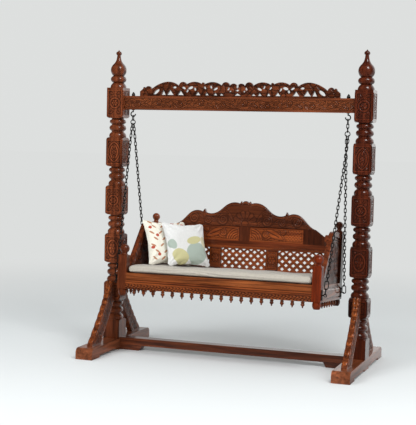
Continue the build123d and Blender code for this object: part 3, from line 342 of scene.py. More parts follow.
foot_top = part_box("left_foot_beam")[1].z
block_sizes = (0.131, 0.128, 0.197, 0.197, 0.197, 0.204)
block_kinds = (None, "small", "oval", "rosette", "mandorla", "rosette")
turned_size = 0.1295
post_blocks = []
level = foot_top
for block_size, block_kind in zip(block_sizes, block_kinds):
    if block_kind:
        post_blocks.append((level, level + block_size, block_kind))
    level += block_size + turned_size
# The right post's teak is a darker copy of the left's: painted shade, where the light falls off to the right.
for side, post_dark, post_light, post_polish in (
    ("left", (0.05, 0.013, 0.005), (0.175, 0.049, 0.019), 0.35),
    ("right", (0.028, 0.0055, 0.003), (0.105, 0.0225, 0.0085), 0.75),
):
    dress(teak(f"{side} post teak", "Z", post_dark, post_light), f"{side}_post", f"{side}_finial")
    # Painted highlight with wear: the carved teak is a lighter copy of the post's, so the raised carving
    # shows lit while its hollows are painted dark.
    carved_dark, carved_light = tuple(1.5 * v for v in post_dark), tuple(1.45 * v for v in post_light)
    carved_post_teak = teak(
        f"carved {side} post teak", "Z", carved_dark, carved_light, carved=0.85, polish=post_polish
    )
    foot_low, foot_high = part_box(f"{side}_foot_beam")
    post_boards = block_boards((foot_low.x + foot_high.x) / 2, post_blocks)
    carve(f"{side}_post_carving", carved_post_teak, "stand", post_boards)

# ---- Braces --------------------------------------------------------------------------------
# Four braces of thick teak board, sawn to a curve between post and foot. Ten buds are carved
# along the outer edge of each, and a vine runs down both of its sides.
brace_rise, brace_reach, brace_head = 0.395, 0.4, 0.051
brace_knee, brace_inner_toe, brace_inner_run = 0.133, 0.262, 0.465


def vine(x, z, wave, swing):
    """Running vine: in each half wave a scroll and a leaf each way, every other one upside down."""
    half = wave / 2
    bend = np.floor(x / half)
    near_x, near_z = x - (bend + 0.5) * half, z * (1 - 2 * (bend % 2))
    height = np.full_like(x, 0.55)
    for at, turn, long, wide in (
        ((-0.56, -0.95), 0.42, 0.86, 0.36), ((0.5, 0.98), math.pi + 0.4, 0.72, 0.3),
        ((-0.44, 0.1), 0.9, 0.4, 0.26), ((0.08, -0.9), 0.12, 0.46, 0.26), ((0.2, 0.1), -0.5, 0.3, 0.2),
    ):
        height = leaf(height, near_x, near_z, (at[0] * half, at[1] * swing), turn, long * half, wide * swing)
    height = curl(height, near_x, near_z, (-0.1 * half, 0.3 * swing), 0.6 * swing, 2.6, 1)
    return raise_motif(height, np.hypot(near_x + 0.1 * half, near_z - 0.3 * swing) - 0.2 * swing, 0.2 * swing)


def brace_side_board(face_x, out, way):
    """Side of a brace: its inner edge (t = 0) to its outer curve (t = 1), from head (s = 0) to toe."""
    low, high = 0.1, 0.86
    s, t = grid((0.01, 0.985, 150), (low, high, 26))
    rest = 1 - s
    outer_y = (rest * rest + 2 * rest * s) * (post_half + brace_head) + s * s * brace_reach
    outer_z = foot_top + rest * rest * brace_rise + 2 * rest * s * 0.75 * brace_rise
    knee = brace_knee / brace_inner_run
    down = np.clip((s - knee) / (1 - knee), 0, 1)
    inner_y = post_half + down * (brace_inner_toe - post_half)
    inner_z = foot_top + brace_rise - np.clip(s / knee, 0, 1) * brace_knee - down * (brace_rise - brace_knee)
    y = inner_y + t * (outer_y - inner_y)
    z = inner_z + t * (outer_z - inner_z)
    width = np.hypot(outer_y - inner_y, outer_z - inner_z)
    height = vine(s * 0.49, (t - (low + high) / 2) * width, 0.15, 0.024)
    height = np.where(np.minimum(t - low, high - t) * width < 0.005, 0.85, height)
    place = np.stack([np.full_like(y, face_x), way * y, z], -1)
    if out * way < 0:
        place, height = place[::-1], height[::-1]
    return place, np.array((out, 0, 0)), stand_out(height, 0.0027)


def buds(name, material, body, places, axes, sizes, cut=0.55):
    """Closed carved buds or beads, as one mesh.

    A bud is an ellipsoid of sizes (half width, half length, half height) at its place along its three
    axes, cut by a cleft over its upper half. It darkens in its cleft and towards the notches at its
    two ends, as staining and painted shade.
    """
    rows, columns = 13, 24
    polar = np.linspace(0, np.pi, rows + 2)[1:-1]
    v, u = np.meshgrid(polar, np.arange(columns) * 2 * np.pi / columns, indexing="ij")
    ball = np.stack([np.sin(v) * np.cos(u), np.cos(v), np.sin(v) * np.sin(u)], -1).reshape(-1, 3)
    ball = np.concatenate([ball, [(0, 1, 0), (0, -1, 0)]])
    cleft = np.exp(-((ball[:, 0] / 0.24) ** 2)) * np.clip(0.75 + 1.6 * ball[:, 1], 0, 1) * (ball[:, 2] > 0)
    ball[:, 2] -= cut * cleft * ball[:, 2]
    # Painted shade with staining in the cleft and at the notches between buds.
    hollow = np.clip(np.maximum(cleft * 1.1, np.abs(ball[:, 1]) * 3 - 2.1), 0, 1) * min(1, cut * 2)
    rings = np.arange(rows * columns).reshape(rows, columns)
    ahead = np.roll(rings, -1, axis=1)
    quads = np.stack([rings[:-1], ahead[:-1], ahead[1:], rings[1:]], -1).reshape(-1, 4)
    tips = [(ahead[0, k], rings[0, k], rows * columns) for k in range(columns)]
    tips += [(rings[-1, k], ahead[-1, k], rows * columns + 1) for k in range(columns)]
    corners, faces = [], []
    for place, axis in zip(places, axes):
        faces += (quads + len(corners) * len(ball)).tolist()
        faces += (np.array(tips) + len(corners) * len(ball)).tolist()
        corners.append(place + (ball * sizes) @ axis)
    carved_piece(name, material, body, corners, faces, np.tile(hollow, len(corners)))


def brace_buds(post_x, way):
    """Places and axes of the ten buds down the outer edge of a brace, one on each scallop."""
    count = 10
    share = np.linspace(0, 1, count + 1)
    y = (1 - share**2) * (post_half + brace_head) + share**2 * brace_reach
    z = foot_top + brace_rise * ((1 - share) ** 2 + 1.5 * (1 - share) * share)
    run = np.stack([np.zeros(count), way * (y[:-1] - y[1:]), z[:-1] - z[1:]], -1)
    run /= np.linalg.norm(run, axis=1, keepdims=True)
    across = np.tile((1.0, 0, 0), (count, 1))
    out = np.cross(across, run) * -way
    middle = np.stack([np.full(count, post_x), way * (y[:-1] + y[1:]) / 2, (z[:-1] + z[1:]) / 2], -1)
    return middle - 0.004 * out, np.stack([across, run, out], 1)


for way, end in ((-1, "front"), (1, "back")):
    slope = f"{end} slope"
    brace_teak = teak(f"{end} brace teak", slope, teak_dark, (0.2, 0.055, 0.018), 1.7, 0, 0.4)
    # Painted highlight with wear: the carved brace teak is lighter than the plain, so the raised vine shows
    # lit.
    carved_brace_teak = teak(
        f"carved {end} brace teak", slope, (0.07, 0.018, 0.007), (0.24, 0.066, 0.022), 1.7, 0.85, 0.4
    )
    # Painted highlight with wear: the buds are lighter than the brace, so their lumps show lit.
    bud_teak = teak(f"{end} bud teak", slope, (0.13, 0.032, 0.009), (0.36, 0.105, 0.026), 1.7, 0.95)
    for side in ("left", "right"):
        name = f"{side}_{end}_brace"
        dress(brace_teak, name)
        low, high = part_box(name)
        boards = [brace_side_board(face, out, way) for face, out in ((low.x, -1.0), (high.x, 1.0))]
        carve(f"{name}_carving", carved_brace_teak, "stand", boards)
        bud_places = brace_buds((low.x + high.x) / 2, way)
        buds(f"{name}_buds", bud_teak, "stand", *bud_places, (0.0208, 0.0215, 0.0145))

# ---- Top beam and cresting -----------------------------------------------------------------
# The beam is tenoned into both posts. A vine is carved in the sunk field of its two faces, and
# a pierced board of scrolls stands on it.
# Painted highlight with wear: the carved beam teak is lighter than the plain, so the raised vine shows lit.
carved_beam_teak = teak("carved beam teak", "X", (0.09, 0.025, 0.009), (0.25, 0.074, 0.025), 0.4, 0.75)
dress(teak("beam teak", "X", (0.06, 0.017, 0.007), (0.18, 0.052, 0.021), 0.4), "top_beam")
beam_low, beam_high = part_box("top_beam")
field_half_x, field_half_z, field_sunk = 0.7885, 0.0295, 0.003
x, z = grid((-field_half_x, field_half_x, 780), (-field_half_z, field_half_z, 36))
beam_height = stand_out(vine(x, z, 0.3, 0.028))
beam_boards = []
for way in (-1, 1):
    face_y = np.full_like(x, way * (beam_high.y - field_sunk))
    place = np.stack([-way * x, face_y, z + (beam_low.z + beam_high.z) / 2], -1)
    beam_boards.append((place, np.array((0, way, 0)), beam_height))
carve("beam_carving", carved_beam_teak, "stand", beam_boards)


def make_foliage_group():
    """Carved leaves as a pattern: the cells of a warped Voronoi net rise from grooves where they meet."""
    takes, gives = {"Place": "Vector", "Size": "Float"}, {"Hollow": "Float", "Height": "Float"}
    tree, start, end = new_group("foliage", takes, gives)
    warp = add_node(tree, "TexNoise", {"Vector": start["Place"], "Scale": 14.0})
    sockets = {0: warp.outputs["Color"], 1: (0.05, 0.05, 0.05), 2: start["Place"]}
    push = add_node(tree, "VectorMath", sockets, operation="MULTIPLY_ADD")
    sockets = {"Vector": push.outputs[0], "Scale": start["Size"]}
    gap = add_node(tree, "TexVoronoi", sockets, feature="DISTANCE_TO_EDGE").outputs["Distance"]
    sockets = {"Value": gap, "From Min": 0.12, "From Max": 0.02}
    groove = add_node(tree, "MapRange", sockets, interpolation_type="SMOOTHSTEP")
    rise = add_node(tree, "MapRange", {"Value": gap, "From Max": 0.3}, interpolation_type="SMOOTHSTEP")
    feed(tree, end, {"Hollow": groove.outputs["Result"], "Height": rise.outputs["Result"]})
    return tree


foliage = make_foliage_group()


def leafy(material, size, depth):
    """Lay the carved leaf pattern over a teak material, with cells this many to the metre; its grooves are
    darkened as painted shadow.
    """
    tree = material.node_tree
    place, bump = tree.nodes["Texture Coordinate"], tree.nodes["Bump"]
    leaves = add_node(tree, "Group", {"Size": size, "Place": place.outputs["Object"]}, node_tree=foliage)
    # Painted shadow: the grooves of the leaf pattern darken the colour.
    stain_and_shade = add_node(tree, "Math", {0: leaves.outputs["Hollow"], 1: 0.8}, operation="MULTIPLY")
    feed(tree, tree.nodes["Group"], {"Hollow": stain_and_shade.outputs[0]})
    sockets = {"Distance": depth, "Strength": 0.8, "Height": leaves.outputs["Height"]}
    relief = add_node(tree, "Bump", {**sockets, "Normal": bump.outputs["Normal"]})
    feed(tree, tree.nodes["Principled BSDF"], {"Normal": relief.outputs["Normal"]})
    return material


cresting_teak = teak("cresting teak", "X", (0.045, 0.012, 0.005), (0.17, 0.046, 0.016), 3.1)
dress(leafy(cresting_teak, 22.0, 0.006), "pierced_cresting")

# ---- Hooks and chains ----------------------------------------------------------------------
# Hook bolts, rings, chains and eye plates are forged and welded iron, blackened, with bare
# brownish metal where the links have rubbed.


def make_iron():
    """Blackened iron: two greys by noise, smoother where it is worn pale, with hammered bumps."""
    material, tree, shader = new_material("black iron")
    place = add_node(tree, "TexCoord", {})
    sockets = {"Vector": place.outputs["Object"], "Scale": 160.0, "Detail": 4.0}
    patches = add_node(tree, "TexNoise", sockets).outputs["Fac"]
    tint = add_node(tree, "ValToRGB", {"Fac": patches})
    stops = ((0.42, (0.012, 0.012, 0.013, 1)), (0.72, (0.075, 0.06, 0.05, 1)))
    for element, (position, colour) in zip(tint.color_ramp.elements, stops):
        element.position, element.color = position, colour
    gloss = add_node(tree, "MapRange", {"Value": patches, "To Min": 0.55, "To Max": 0.34})
    bump = add_node(tree, "Bump", {"Strength": 0.3, "Distance": 0.0006, "Height": patches})
    feed(tree, shader, {
        "Base Color": tint.outputs["Color"], "Metallic": 0.7,
        "Roughness": gloss.outputs["Result"], "Normal": bump.outputs["Normal"],
    })
    return material


iron_names = [n for n in nodes if any(k in n for k in ("chain", "ring", "hook", "eye_plate"))]
dress(make_iron(), *iron_names)

# ---- Bench frame ---------------------------------------------------------------------------
# Four square corner posts with bun feet and turned knobs hold four moulded seat rails. They are
# a lighter, more orange teak than the stand. Slats lie between the rails, turned drops hang below.
rail_dark, rail_light = (0.095, 0.026, 0.008), (0.29, 0.09, 0.026)
dress(teak("long rail teak", "X", rail_dark, rail_light, 2.2), "front_rail", "back_rail")
side_rail_teak = teak("side rail teak", "Y", rail_dark, rail_light, 2.9)
dress(side_rail_teak, "left_side_rail", "right_side_rail", "seat_slats")
dress(teak("drop teak", "Z", (0.06, 0.016, 0.006), (0.2, 0.055, 0.018), 5.2), "front_drops", "side_drops")
# The corner posts are one teak in shades by how the light falls on each: painted shade on the front left and
# back right, painted light on the back left.
for corner, corner_dark, corner_light, corner_polish in (
    ("front_right", (0.065, 0.009, 0.002), (0.19, 0.027, 0.003), 0.4),
    ("back_right", (0.03, 0.008, 0.004), (0.085, 0.022, 0.009), 0.5),
    ("front_left", (0.045, 0.011, 0.004), (0.13, 0.033, 0.011), 0.5),
    ("back_left", (0.09, 0.023, 0.01), (0.26, 0.07, 0.03), 0.75),
):
    corner_teak = teak(f"{corner} corner post teak", "Z", corner_dark, corner_light, 4.1, 0, corner_polish)
    dress(corner_teak, f"{corner}_corner_post")
tilt = math.radians(5.0)
bench_middle = np.array((0, -0.066, 0.4373))
bench_x = np.array((1.0, 0, 0))
bench_y = np.array((0, math.cos(tilt), -math.sin(tilt)))
bench_z = np.array((0, math.sin(tilt), math.cos(tilt)))
bench_frame = np.stack([bench_x, bench_y, bench_z])


def on_bench(x, y, z):
    """Points of the frame from places in the bench's own tilted axes, as whole arrays."""
    x, y, z = (np.asarray(v, float)[..., None] for v in (x, y, z))
    return bench_middle + x * bench_x + y * bench_y + z * bench_z


def in_bench(points):
    """Places in the bench's own axes of points of the frame."""
    offset = points - bench_middle
    return np.stack([offset @ bench_x, offset @ bench_y, offset @ bench_z], -1)


def read_points(mesh):
    """The mesh's points as an array."""
    found = np.zeros(len(mesh.vertices) * 3)
    mesh.vertices.foreach_get("co", found)
    return found.reshape(-1, 3)


def node_points(name):
    """All mesh points of a CAD node, in the bench's own axes."""
    return in_bench(read_points(nodes[name].data))


def rail_strip(x, z):
    """Carved strip of the front rail: slanting leaves where two waves cross, under three fine reeds."""
    twist = np.cos(2 * np.pi * x / 0.044 + 1.2 * np.sin(2 * np.pi * z / 0.034))
    rope = np.abs(twist * np.cos(2 * np.pi * (z + 0.3 * x) / 0.026))
    leaves = np.where(rope > 0.25, 0.35 + 0.6 * rope, 0.0)
    reeds = np.clip(4 * np.abs(np.sin(np.pi * (z - 0.035) / 0.013)) - 1, 0, 0.9)
    return np.where(z > 0.032, reeds, leaves)


rail_points = node_points("front_rail")
rail_face, rail_end = rail_points[:, 1].min(), rail_points[:, 0].max() - 0.02
x, z = grid((-rail_end, rail_end, 780), (0.001, 0.064, 38))
strip_teak = teak("carved rail teak", "X", (0.1, 0.024, 0.007), (0.29, 0.078, 0.02), 2.2, 0.95)
strip_board = (on_bench(x, rail_face, z), -bench_y, stand_out(rail_strip(x, z)))
carve("front_rail_carving", strip_teak, "bench", [strip_board])
drop_half, drop_pitch = 0.0115, 0.0664
drop_points = node_points("front_drops")
drop_low, drop_high = drop_points.min(0), drop_points.max(0)
drop_span = drop_high[0] - drop_low[0] - 2 * drop_half
drop_count = round(drop_span / drop_pitch) + 1
drop_x = np.linspace(drop_low[0] + drop_half, drop_high[0] - drop_half, drop_count)
for part, sunk, part_size in (
    ("collars", 0.007, (0.0125, 0.0125, 0.006)),
    ("bulbs", 0.021, (0.013, 0.013, 0.009)),
):
    part_teak = teak(f"{part} teak", "Z", (0.07, 0.018, 0.006), (0.21, 0.055, 0.016), 5.2)
    places = on_bench(drop_x, (drop_low[1] + drop_high[1]) / 2, drop_high[2] - sunk)
    axes = np.tile(bench_frame, (drop_count, 1, 1))
    buds(f"front_drop_{part}", part_teak, "bench", places, axes, part_size, 0)

# ---- Back ----------------------------------------------------------------------------------
# Rails and uprights frame three pierced lattice panels. Above them are two carved panels and a
# crest board with a high middle hump, carved on both faces with a fan and scrolls.
back_teak = teak("back teak", "X", (0.05, 0.012, 0.004), (0.16, 0.036, 0.011), 0.8)
dress(back_teak, "lower_back_rail", "middle_back_rail")
jali_teak = teak("jali teak", "X", (0.09, 0.023, 0.006), (0.25, 0.064, 0.017), 0.8)
dress(jali_teak, "left_jali_panel", "centre_jali_panel", "right_jali_panel")
dress(teak("stile teak", "Z", (0.04, 0.011, 0.005), (0.1, 0.026, 0.01), 1.1), "back_stiles")
dress(teak("panel ground teak", "X", (0.08, 0.018, 0.005), (0.2, 0.045, 0.012), 1.4), "carved_back_panels")
dress(teak("crest teak", "X", (0.035, 0.011, 0.006), (0.11, 0.032, 0.015), 1.6), "crest_board")
crest_points = node_points("crest_board")
crest_bottom = crest_points[:, 2].min()
crest_front, crest_back = crest_points[:, 1].min(), crest_points[:, 1].max()
rim = crest_points[(crest_points[:, 2] > crest_bottom + 0.0005) & (crest_points[:, 1] < crest_front + 0.001)]
rim = rim[np.argsort(rim[:, 0])]


def fan(height, x, z, at, radius, ribs):
    """Lay a half shell: ribs spread from a boss, each rounded at the rim and cut from the next."""
    run = np.hypot(x - at[0], z - at[1])
    rib = np.abs(np.cos(np.arctan2(z - at[1], x - at[0]) * ribs))
    laid = raise_motif(height, run - radius * (0.84 + 0.16 * rib), 0.6 * radius)
    laid = np.where((rib < 0.34) & (run < radius) & (run > 0.25 * radius), 0.0, laid)
    return raise_motif(laid, run - 0.25 * radius, 0.25 * radius)


def crest_carving(x, z, top):
    """Carving of the crest: a bead along its rim, a fan in the middle, scrolls and leaves to the sides."""
    away = np.abs(x)
    leaves = (
        ((0.08, 0.46), 0.95, 0.13, 0.019), ((0.105, 0.455), 0.12, 0.09, 0.012),
        ((0.12, 0.53), 0.15, 0.09, 0.013), ((0.2, 0.47), 0.5, 0.07, 0.011),
        ((0.29, 0.455), 0.05, 0.09, 0.011), ((0.3, 0.49), 0.9, 0.05, 0.01),
        ((0.4, 0.47), 0.2, 0.07, 0.012), ((0.395, 0.5), -0.25, 0.06, 0.009),
    )
    scrolls = (
        ((0.155, 0.487), 0.036, 0.4, 1), ((0.265, 0.478), 0.026, 2.2, -1), ((0.365, 0.489), 0.034, 0.9, 1),
    )
    height = spray(np.full_like(x, 0.55), away, z, leaves, scrolls)
    height = fan(height, x, z, (0, 0.462), 0.088, 7)
    return raise_motif(height, np.abs(top - z - 0.012) - 0.006, 0.006)


crest_half = 0.487
x, t = grid((-crest_half, crest_half, 420), (0, 1, 46))
crest_top = np.interp(x, rim[:, 0], rim[:, 2])
z = crest_bottom + 0.002 + t * (crest_top - crest_bottom - 0.006)
crest_relief = stand_out(crest_carving(x, z, crest_top))
crest_boards = [
    (on_bench(x, crest_front, z), -bench_y, crest_relief),
    (on_bench(x, crest_back, z)[::-1], bench_y, crest_relief[::-1]),
]
# Painted highlight with wear: the carved crest teak is lighter than the plain, so the raised carving shows
# lit.
carved_crest_teak = teak("carved crest teak", "X", (0.06, 0.016, 0.007), (0.15, 0.041, 0.015), 1.6, 0.65)
carve("crest_carving", carved_crest_teak, "bench", crest_boards)
panel_length, panel_height, panel_margin, panel_start = 0.376, 0.1, 0.006, 0.036
shallow = 0.0024


def panel_carving(x, z):
    """Carving of a back panel, x from its inner end: a quarter fan of arcs, leaves, a diaper at its end."""
    net = np.maximum(np.cos(2 * np.pi * (x + z) / 0.021), np.cos(2 * np.pi * (x - z) / 0.021))
    height = np.where(x > 0.262, 0.25 + 0.6 * np.clip(net, 0, 1), 0.5)
    run = np.hypot(x - 0.008, z - 0.006)
    arcs = 0.5 + 0.5 * np.cos(2 * np.pi * run / 0.0155)
    height = np.where(run < 0.09, arcs, height)
    leaves = (
        ((0.25, 0.012), 2.3, 0.085, 0.013), ((0.2, 0.09), -0.1, 0.07, 0.01),
        ((0.13, 0.014), 0.15, 0.1, 0.011), ((0.1, 0.02), 0.5, 0.07, 0.013),
        ((0.1, 0.086), -0.42, 0.15, 0.023),
    )
    scrolls = ((0.112, 0.052), 0.022, 0.5, 1), ((0.236, 0.072), 0.018, 2.0, -1)
    height = spray(height, x, z, leaves, scrolls)
    half_length, half_height = panel_length / 2, panel_height / 2
    inner_length, inner_height = half_length - panel_margin, half_height - panel_margin
    return border(height, x - half_length, z - half_height, inner_length, inner_height, 0.004)


panel_points = node_points("carved_back_panels")
panel_ends = panel_length - panel_margin, panel_height - panel_margin
x, z = grid((panel_margin, panel_ends[0], 200), (panel_margin, panel_ends[1], 50))
panel_relief = stand_out(panel_carving(x, z), shallow)
panel_boards = []
for side in (-1, 1):
    for way, depth in ((-1, panel_points[:, 1].min()), (1, panel_points[:, 1].max())):
        place = on_bench(side * (panel_start + x), depth, z + panel_points[:, 2].min())
        turned = slice(None, None, 1 if side * way < 0 else -1)
        panel_boards.append((place[turned], way * bench_y, panel_relief[turned]))
# Painted highlight with wear: the carved panel teak is lighter than the panel ground, so the raised carving
# shows lit.
carved_panel_teak = teak("carved panel teak", "X", (0.14, 0.031, 0.008), (0.33, 0.085, 0.02), 1.4, 0.75)
carve("panel_carving", carved_panel_teak, "bench", panel_boards)


def diaper(x, z, pitch):
    """Carved net of leaves: height from the crossing of two slanting waves, with a groove between."""
    net = np.abs(np.cos(2 * np.pi * (x + z) / pitch) * np.cos(2 * np.pi * (x - z) / pitch))
    return np.where(net > 0.1, 0.35 + 0.6 * net, 0.0)


back_face = node_points("back_stiles")[:, 1].min()
stile_x, stile_half_x, stile_half_z, stile_z = 0.2005, 0.036, 0.06, 0.224
x, z = grid((-stile_half_x, stile_half_x, 60), (-stile_half_z, stile_half_z, 100))
stile_height = flower(diaper(x, z, 0.024), x, z, (0, 0), 0.026, 6)
stile_relief = stand_out(border(stile_height, x, z, stile_half_x, stile_half_z, 0.005), shallow)
back_boards = []
for side in (-1, 1):
    place = on_bench(side * stile_x + x, back_face, z + stile_z)
    back_boards.append((place, -bench_y, stile_relief))
band_half, band_bottom, band_top = 0.6, 0.295, 0.311
x, z = grid((-band_half, band_half, 900), (band_bottom, band_top, 12))
back_boards.append((on_bench(x, back_face, z), -bench_y, stand_out(diaper(x, z, 0.019), shallow)))
# Painted highlight with wear: the carved back teak is lighter than the stiles and rails, so the raised
# carving shows lit.
carved_back_teak = teak("carved back teak", "X", (0.15, 0.036, 0.01), (0.36, 0.09, 0.022), 1.9, 0.8)
carve("back_carving", carved_back_teak, "bench", back_boards)

# ---- Arms ----------------------------------------------------------------------------------
# Each arm is a bent rail from the seat to the back post, over a board carved on both faces with
# scrolls, on a flat base rail.
dress(teak("arm teak", "front slope", teak_dark, (0.2, 0.05, 0.018), 6.3), "left_arm_rail", "right_arm_rail")
arm_teak = teak("arm panel teak", "Y", (0.035, 0.01, 0.004), (0.12, 0.032, 0.013), 6.9, 0, 0.3)
dress(arm_teak, "left_arm_panel", "right_arm_panel", "arm_base_rails")
# Painted highlight with wear: the carved arm teak is lighter than the arm panel, so the raised carving shows
# lit.
carved_arm_teak = teak("carved arm teak", "Y", (0.055, 0.014, 0.006), (0.17, 0.045, 0.016), 6.9, 0.95, 0.4)


def arm_carving(y, z):
    """Carving of an arm board, y and z from its front foot: scrolls and leaves that fill the slope."""
    leaves = (
        ((0.05, 0.02), 0.9, 0.07, 0.013), ((0.16, 0.02), 0.4, 0.09, 0.015), ((0.13, 0.12), 1.0, 0.07, 0.012),
        ((0.25, 0.1), 0.9, 0.07, 0.012), ((0.22, 0.21), 0.2, 0.09, 0.012), ((0.345, 0.11), 1.4, 0.11, 0.013),
        ((0.335, 0.015), 1.2, 0.05, 0.012),
    )
    scrolls = (
        ((0.2, 0.15), 0.055, 0.8, 1), ((0.11, 0.075), 0.04, 2.6, -1),
        ((0.29, 0.06), 0.045, 0.2, 1), ((0.3, 0.18), 0.032, 2.0, -1),
    )
    return spray(np.full_like(y, 0.45), y, z, leaves, scrolls)


for side in ("left", "right"):
    points = node_points(f"{side}_arm_panel")
    (arm_left, arm_front, arm_foot), (arm_right, arm_back, _) = points.min(0), points.max(0)
    edge = points[(points[:, 2] > arm_foot + 0.0005) | (points[:, 1] < arm_front + 0.0005)]
    edge = edge[np.argsort(edge[:, 1])]
    y, t = grid((arm_front + 0.02, arm_back - 0.006, 110), (0, 1, 70))
    roof = np.interp(y, edge[:, 1], edge[:, 2])
    z = arm_foot + 0.006 + t * (roof - arm_foot - 0.016)
    height = arm_carving(y - arm_front, z - arm_foot)
    relief = stand_out(raise_motif(height, np.abs(roof - z - 0.014) - 0.005, 0.005))
    arm_boards = []
    for way, face in ((-1, arm_left), (1, arm_right)):
        turned = slice(None, None, way)
        arm_boards.append((on_bench(face, y, z)[turned], way * bench_x, relief[turned]))
    carve(f"{side}_arm_carving", carved_arm_teak, "bench", arm_boards)

# ---- Mattress ------------------------------------------------------------------------------
# A thin seat mattress in a washed grey-beige linen cover, filled with fibre. It sags a little,
# and its cover lies in long soft wrinkles along the front.


def make_weave_group():
    """Plain weave: threads as cos x times cos y plus cos z of the point, and yarn uneven by noise."""
    takes, gives = {"Place": "Vector", "Threads": "Float"}, {"Height": "Float", "Yarn": "Float"}
    tree, start, end = new_group("weave", takes, gives)
    grow = add_node(tree, "VectorMath", {0: start["Place"], "Scale": start["Threads"]}, operation="SCALE")
    parts = add_node(tree, "SeparateXYZ", {0: grow.outputs[0]}).outputs
    waves = [add_node(tree, "Math", {0: parts[axis]}, operation="COSINE").outputs[0] for axis in "XYZ"]
    first = add_node(tree, "Math", {0: waves[0], 1: waves[1]}, operation="MULTIPLY")
    both = add_node(tree, "Math", {0: first.outputs[0], 1: waves[2]}, operation="ADD")
    slub = add_node(tree, "TexNoise", {"Vector": start["Place"], "Scale": 90.0, "Detail": 5.0})
    feed(tree, end, {"Height": both.outputs[0], "Yarn": slub.outputs["Fac"]})
    return tree


weave = make_weave_group()


def cloth(name, threads, depth, low, high):
    """Woven cloth with a soft sheen, dyed between two shades by the unevenness of its yarn."""
    material, tree, shader = new_material(name)
    place = add_node(tree, "TexCoord", {})
    sockets = {"Threads": threads, "Place": place.outputs["Object"]}
    yarn = add_node(tree, "Group", sockets, node_tree=weave)
    bump = add_node(tree, "Bump", {"Strength": 0.35, "Distance": depth, "Height": yarn.outputs["Height"]})
    shade = add_node(tree, "Mix", {0: yarn.outputs["Yarn"], 6: (*low, 1), 7: (*high, 1)}, data_type="RGBA")
    feed(tree, shader, {
        "Base Color": shade.outputs[2], "Normal": bump.outputs["Normal"], "Roughness": 0.9,
        "Sheen Weight": 0.25, "Sheen Roughness": 0.4,
    })
    return material


def write_points(mesh, points):
    """Put an array back as the mesh's points."""
    mesh.vertices.foreach_set("co", points.astype(np.float32).ravel())
    mesh.update()


def apply_modifiers(piece):
    """Bake the piece's modifiers into its mesh."""
    seen = piece.evaluated_get(bpy.context.evaluated_depsgraph_get())
    mesh = bpy.data.meshes.new_from_object(seen)
    piece.modifiers.clear()
    piece.data = mesh


cloth_frames = 20


def stuff(name, node, voxel, pressure, cap, thin, centre, axes):
    """Cloth cover over a CAD pad, blown up by its filling.

    The pad is remeshed to even cells, made smaller along its axes by the shares in thin, then run
    as cloth with pressure; no point moves further than cap. It is then stretched along its own axes
    until it fills the pad's box again, so that its corners stand out where the pad's are.
    """
    mesh = nodes[node].data.copy()
    mesh.name = name
    pad = (read_points(mesh) - centre) @ axes.T
    piece = bpy.data.objects.new(name, mesh)
    bpy.context.scene.collection.objects.link(piece)
    piece.modifiers.new("weld", "WELD").merge_threshold = 1e-5
    remesh = piece.modifiers.new("even cells", "REMESH")
    remesh.mode, remesh.voxel_size = "VOXEL", voxel
    apply_modifiers(piece)
    offset = (read_points(piece.data) - centre) @ axes.T
    points = centre + (offset * thin) @ axes
    write_points(piece.data, points)
    sheet = piece.modifiers.new("cover", "CLOTH")
    for key, value in (
        ("quality", 5), ("mass", 0.3), ("tension_stiffness", 12), ("compression_stiffness", 12),
        ("shear_stiffness", 5), ("bending_stiffness", 0.6), ("use_pressure", True),
        ("uniform_pressure_force", pressure),
    ):
        setattr(sheet.settings, key, value)
    sheet.settings.effector_weights.gravity = 0
    sheet.collision_settings.use_collision = False
    sheet.point_cache.frame_start, sheet.point_cache.frame_end = 1, cloth_frames
    for number in range(1, cloth_frames + 1):
        bpy.context.scene.frame_set(number)
    seen = piece.evaluated_get(bpy.context.evaluated_depsgraph_get())
    moved = read_points(seen.data) - points
    length = np.linalg.norm(moved, axis=1, keepdims=True) + 1e-9
    points = points + moved * np.minimum(1, cap / length)
    piece.modifiers.remove(sheet)
    bpy.context.scene.frame_set(1)
    write_points(piece.data, points)
    piece.modifiers.new("smooth", "SMOOTH").iterations = 4
    round_off = piece.modifiers.new("round", "SUBSURF")
    round_off.levels = round_off.render_levels = 1
    apply_modifiers(piece)
    piece.data.polygons.foreach_set("use_smooth", np.ones(len(piece.data.polygons), bool))
    offset = (read_points(piece.data) - centre) @ axes.T
    share = (offset - offset.min(0)) / np.ptp(offset, axis=0)
    write_points(piece.data, centre + (pad.min(0) + share * np.ptp(pad, axis=0)) @ axes)
    return piece


def finish_pad(piece, material, slot, fill, *replaced):
    piece.data.materials.clear()
    piece.data.materials.append(material)
    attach(piece, "bench")
    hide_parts(*replaced)


mattress_points = node_points("mattress")
mattress_low, mattress_high = mattress_points.min(0), mattress_points.max(0)
mattress_centre = on_bench(*((mattress_low + mattress_high) / 2))
mattress_thin = (0.992, 0.985, 0.84)
mattress = stuff("linen_mattress", "mattress", 0.011, 2.0, 0.006, mattress_thin, mattress_centre, bench_frame)
x, y, z = in_bench(read_points(mattress.data)).T
x = x * 1.008
sag = 0.0035 * np.sin(x * 9.1 + 0.7) * np.cos(y * 7.3) + 0.002 * np.sin(x * 23.0 + 3 * np.sin(y * 11))
share_up = np.clip((z - mattress_low[2]) / (mattress_high[2] - mattress_low[2]), 0, 1)
front = np.clip((mattress_low[1] + 0.03 - y) / 0.03, 0, 1)
folds = np.sin(z * 330 + 2.5 * np.sin(x * 6.0) + 1.5 * np.sin(x * 17.0 + 1))
folds *= 0.55 + 0.45 * np.sin(x * 4.1 + 2)
z = z + share_up * sag
y = y - front * 0.0024 * folds * np.sin(np.pi * share_up)
write_points(mattress.data, on_bench(x, y, z))
linen = cloth("washed linen", 3600.0, 0.0006, (0.35, 0.32, 0.27), (0.46, 0.425, 0.37))
finish_pad(mattress, linen, "pale_linen", 0.8, "mattress")

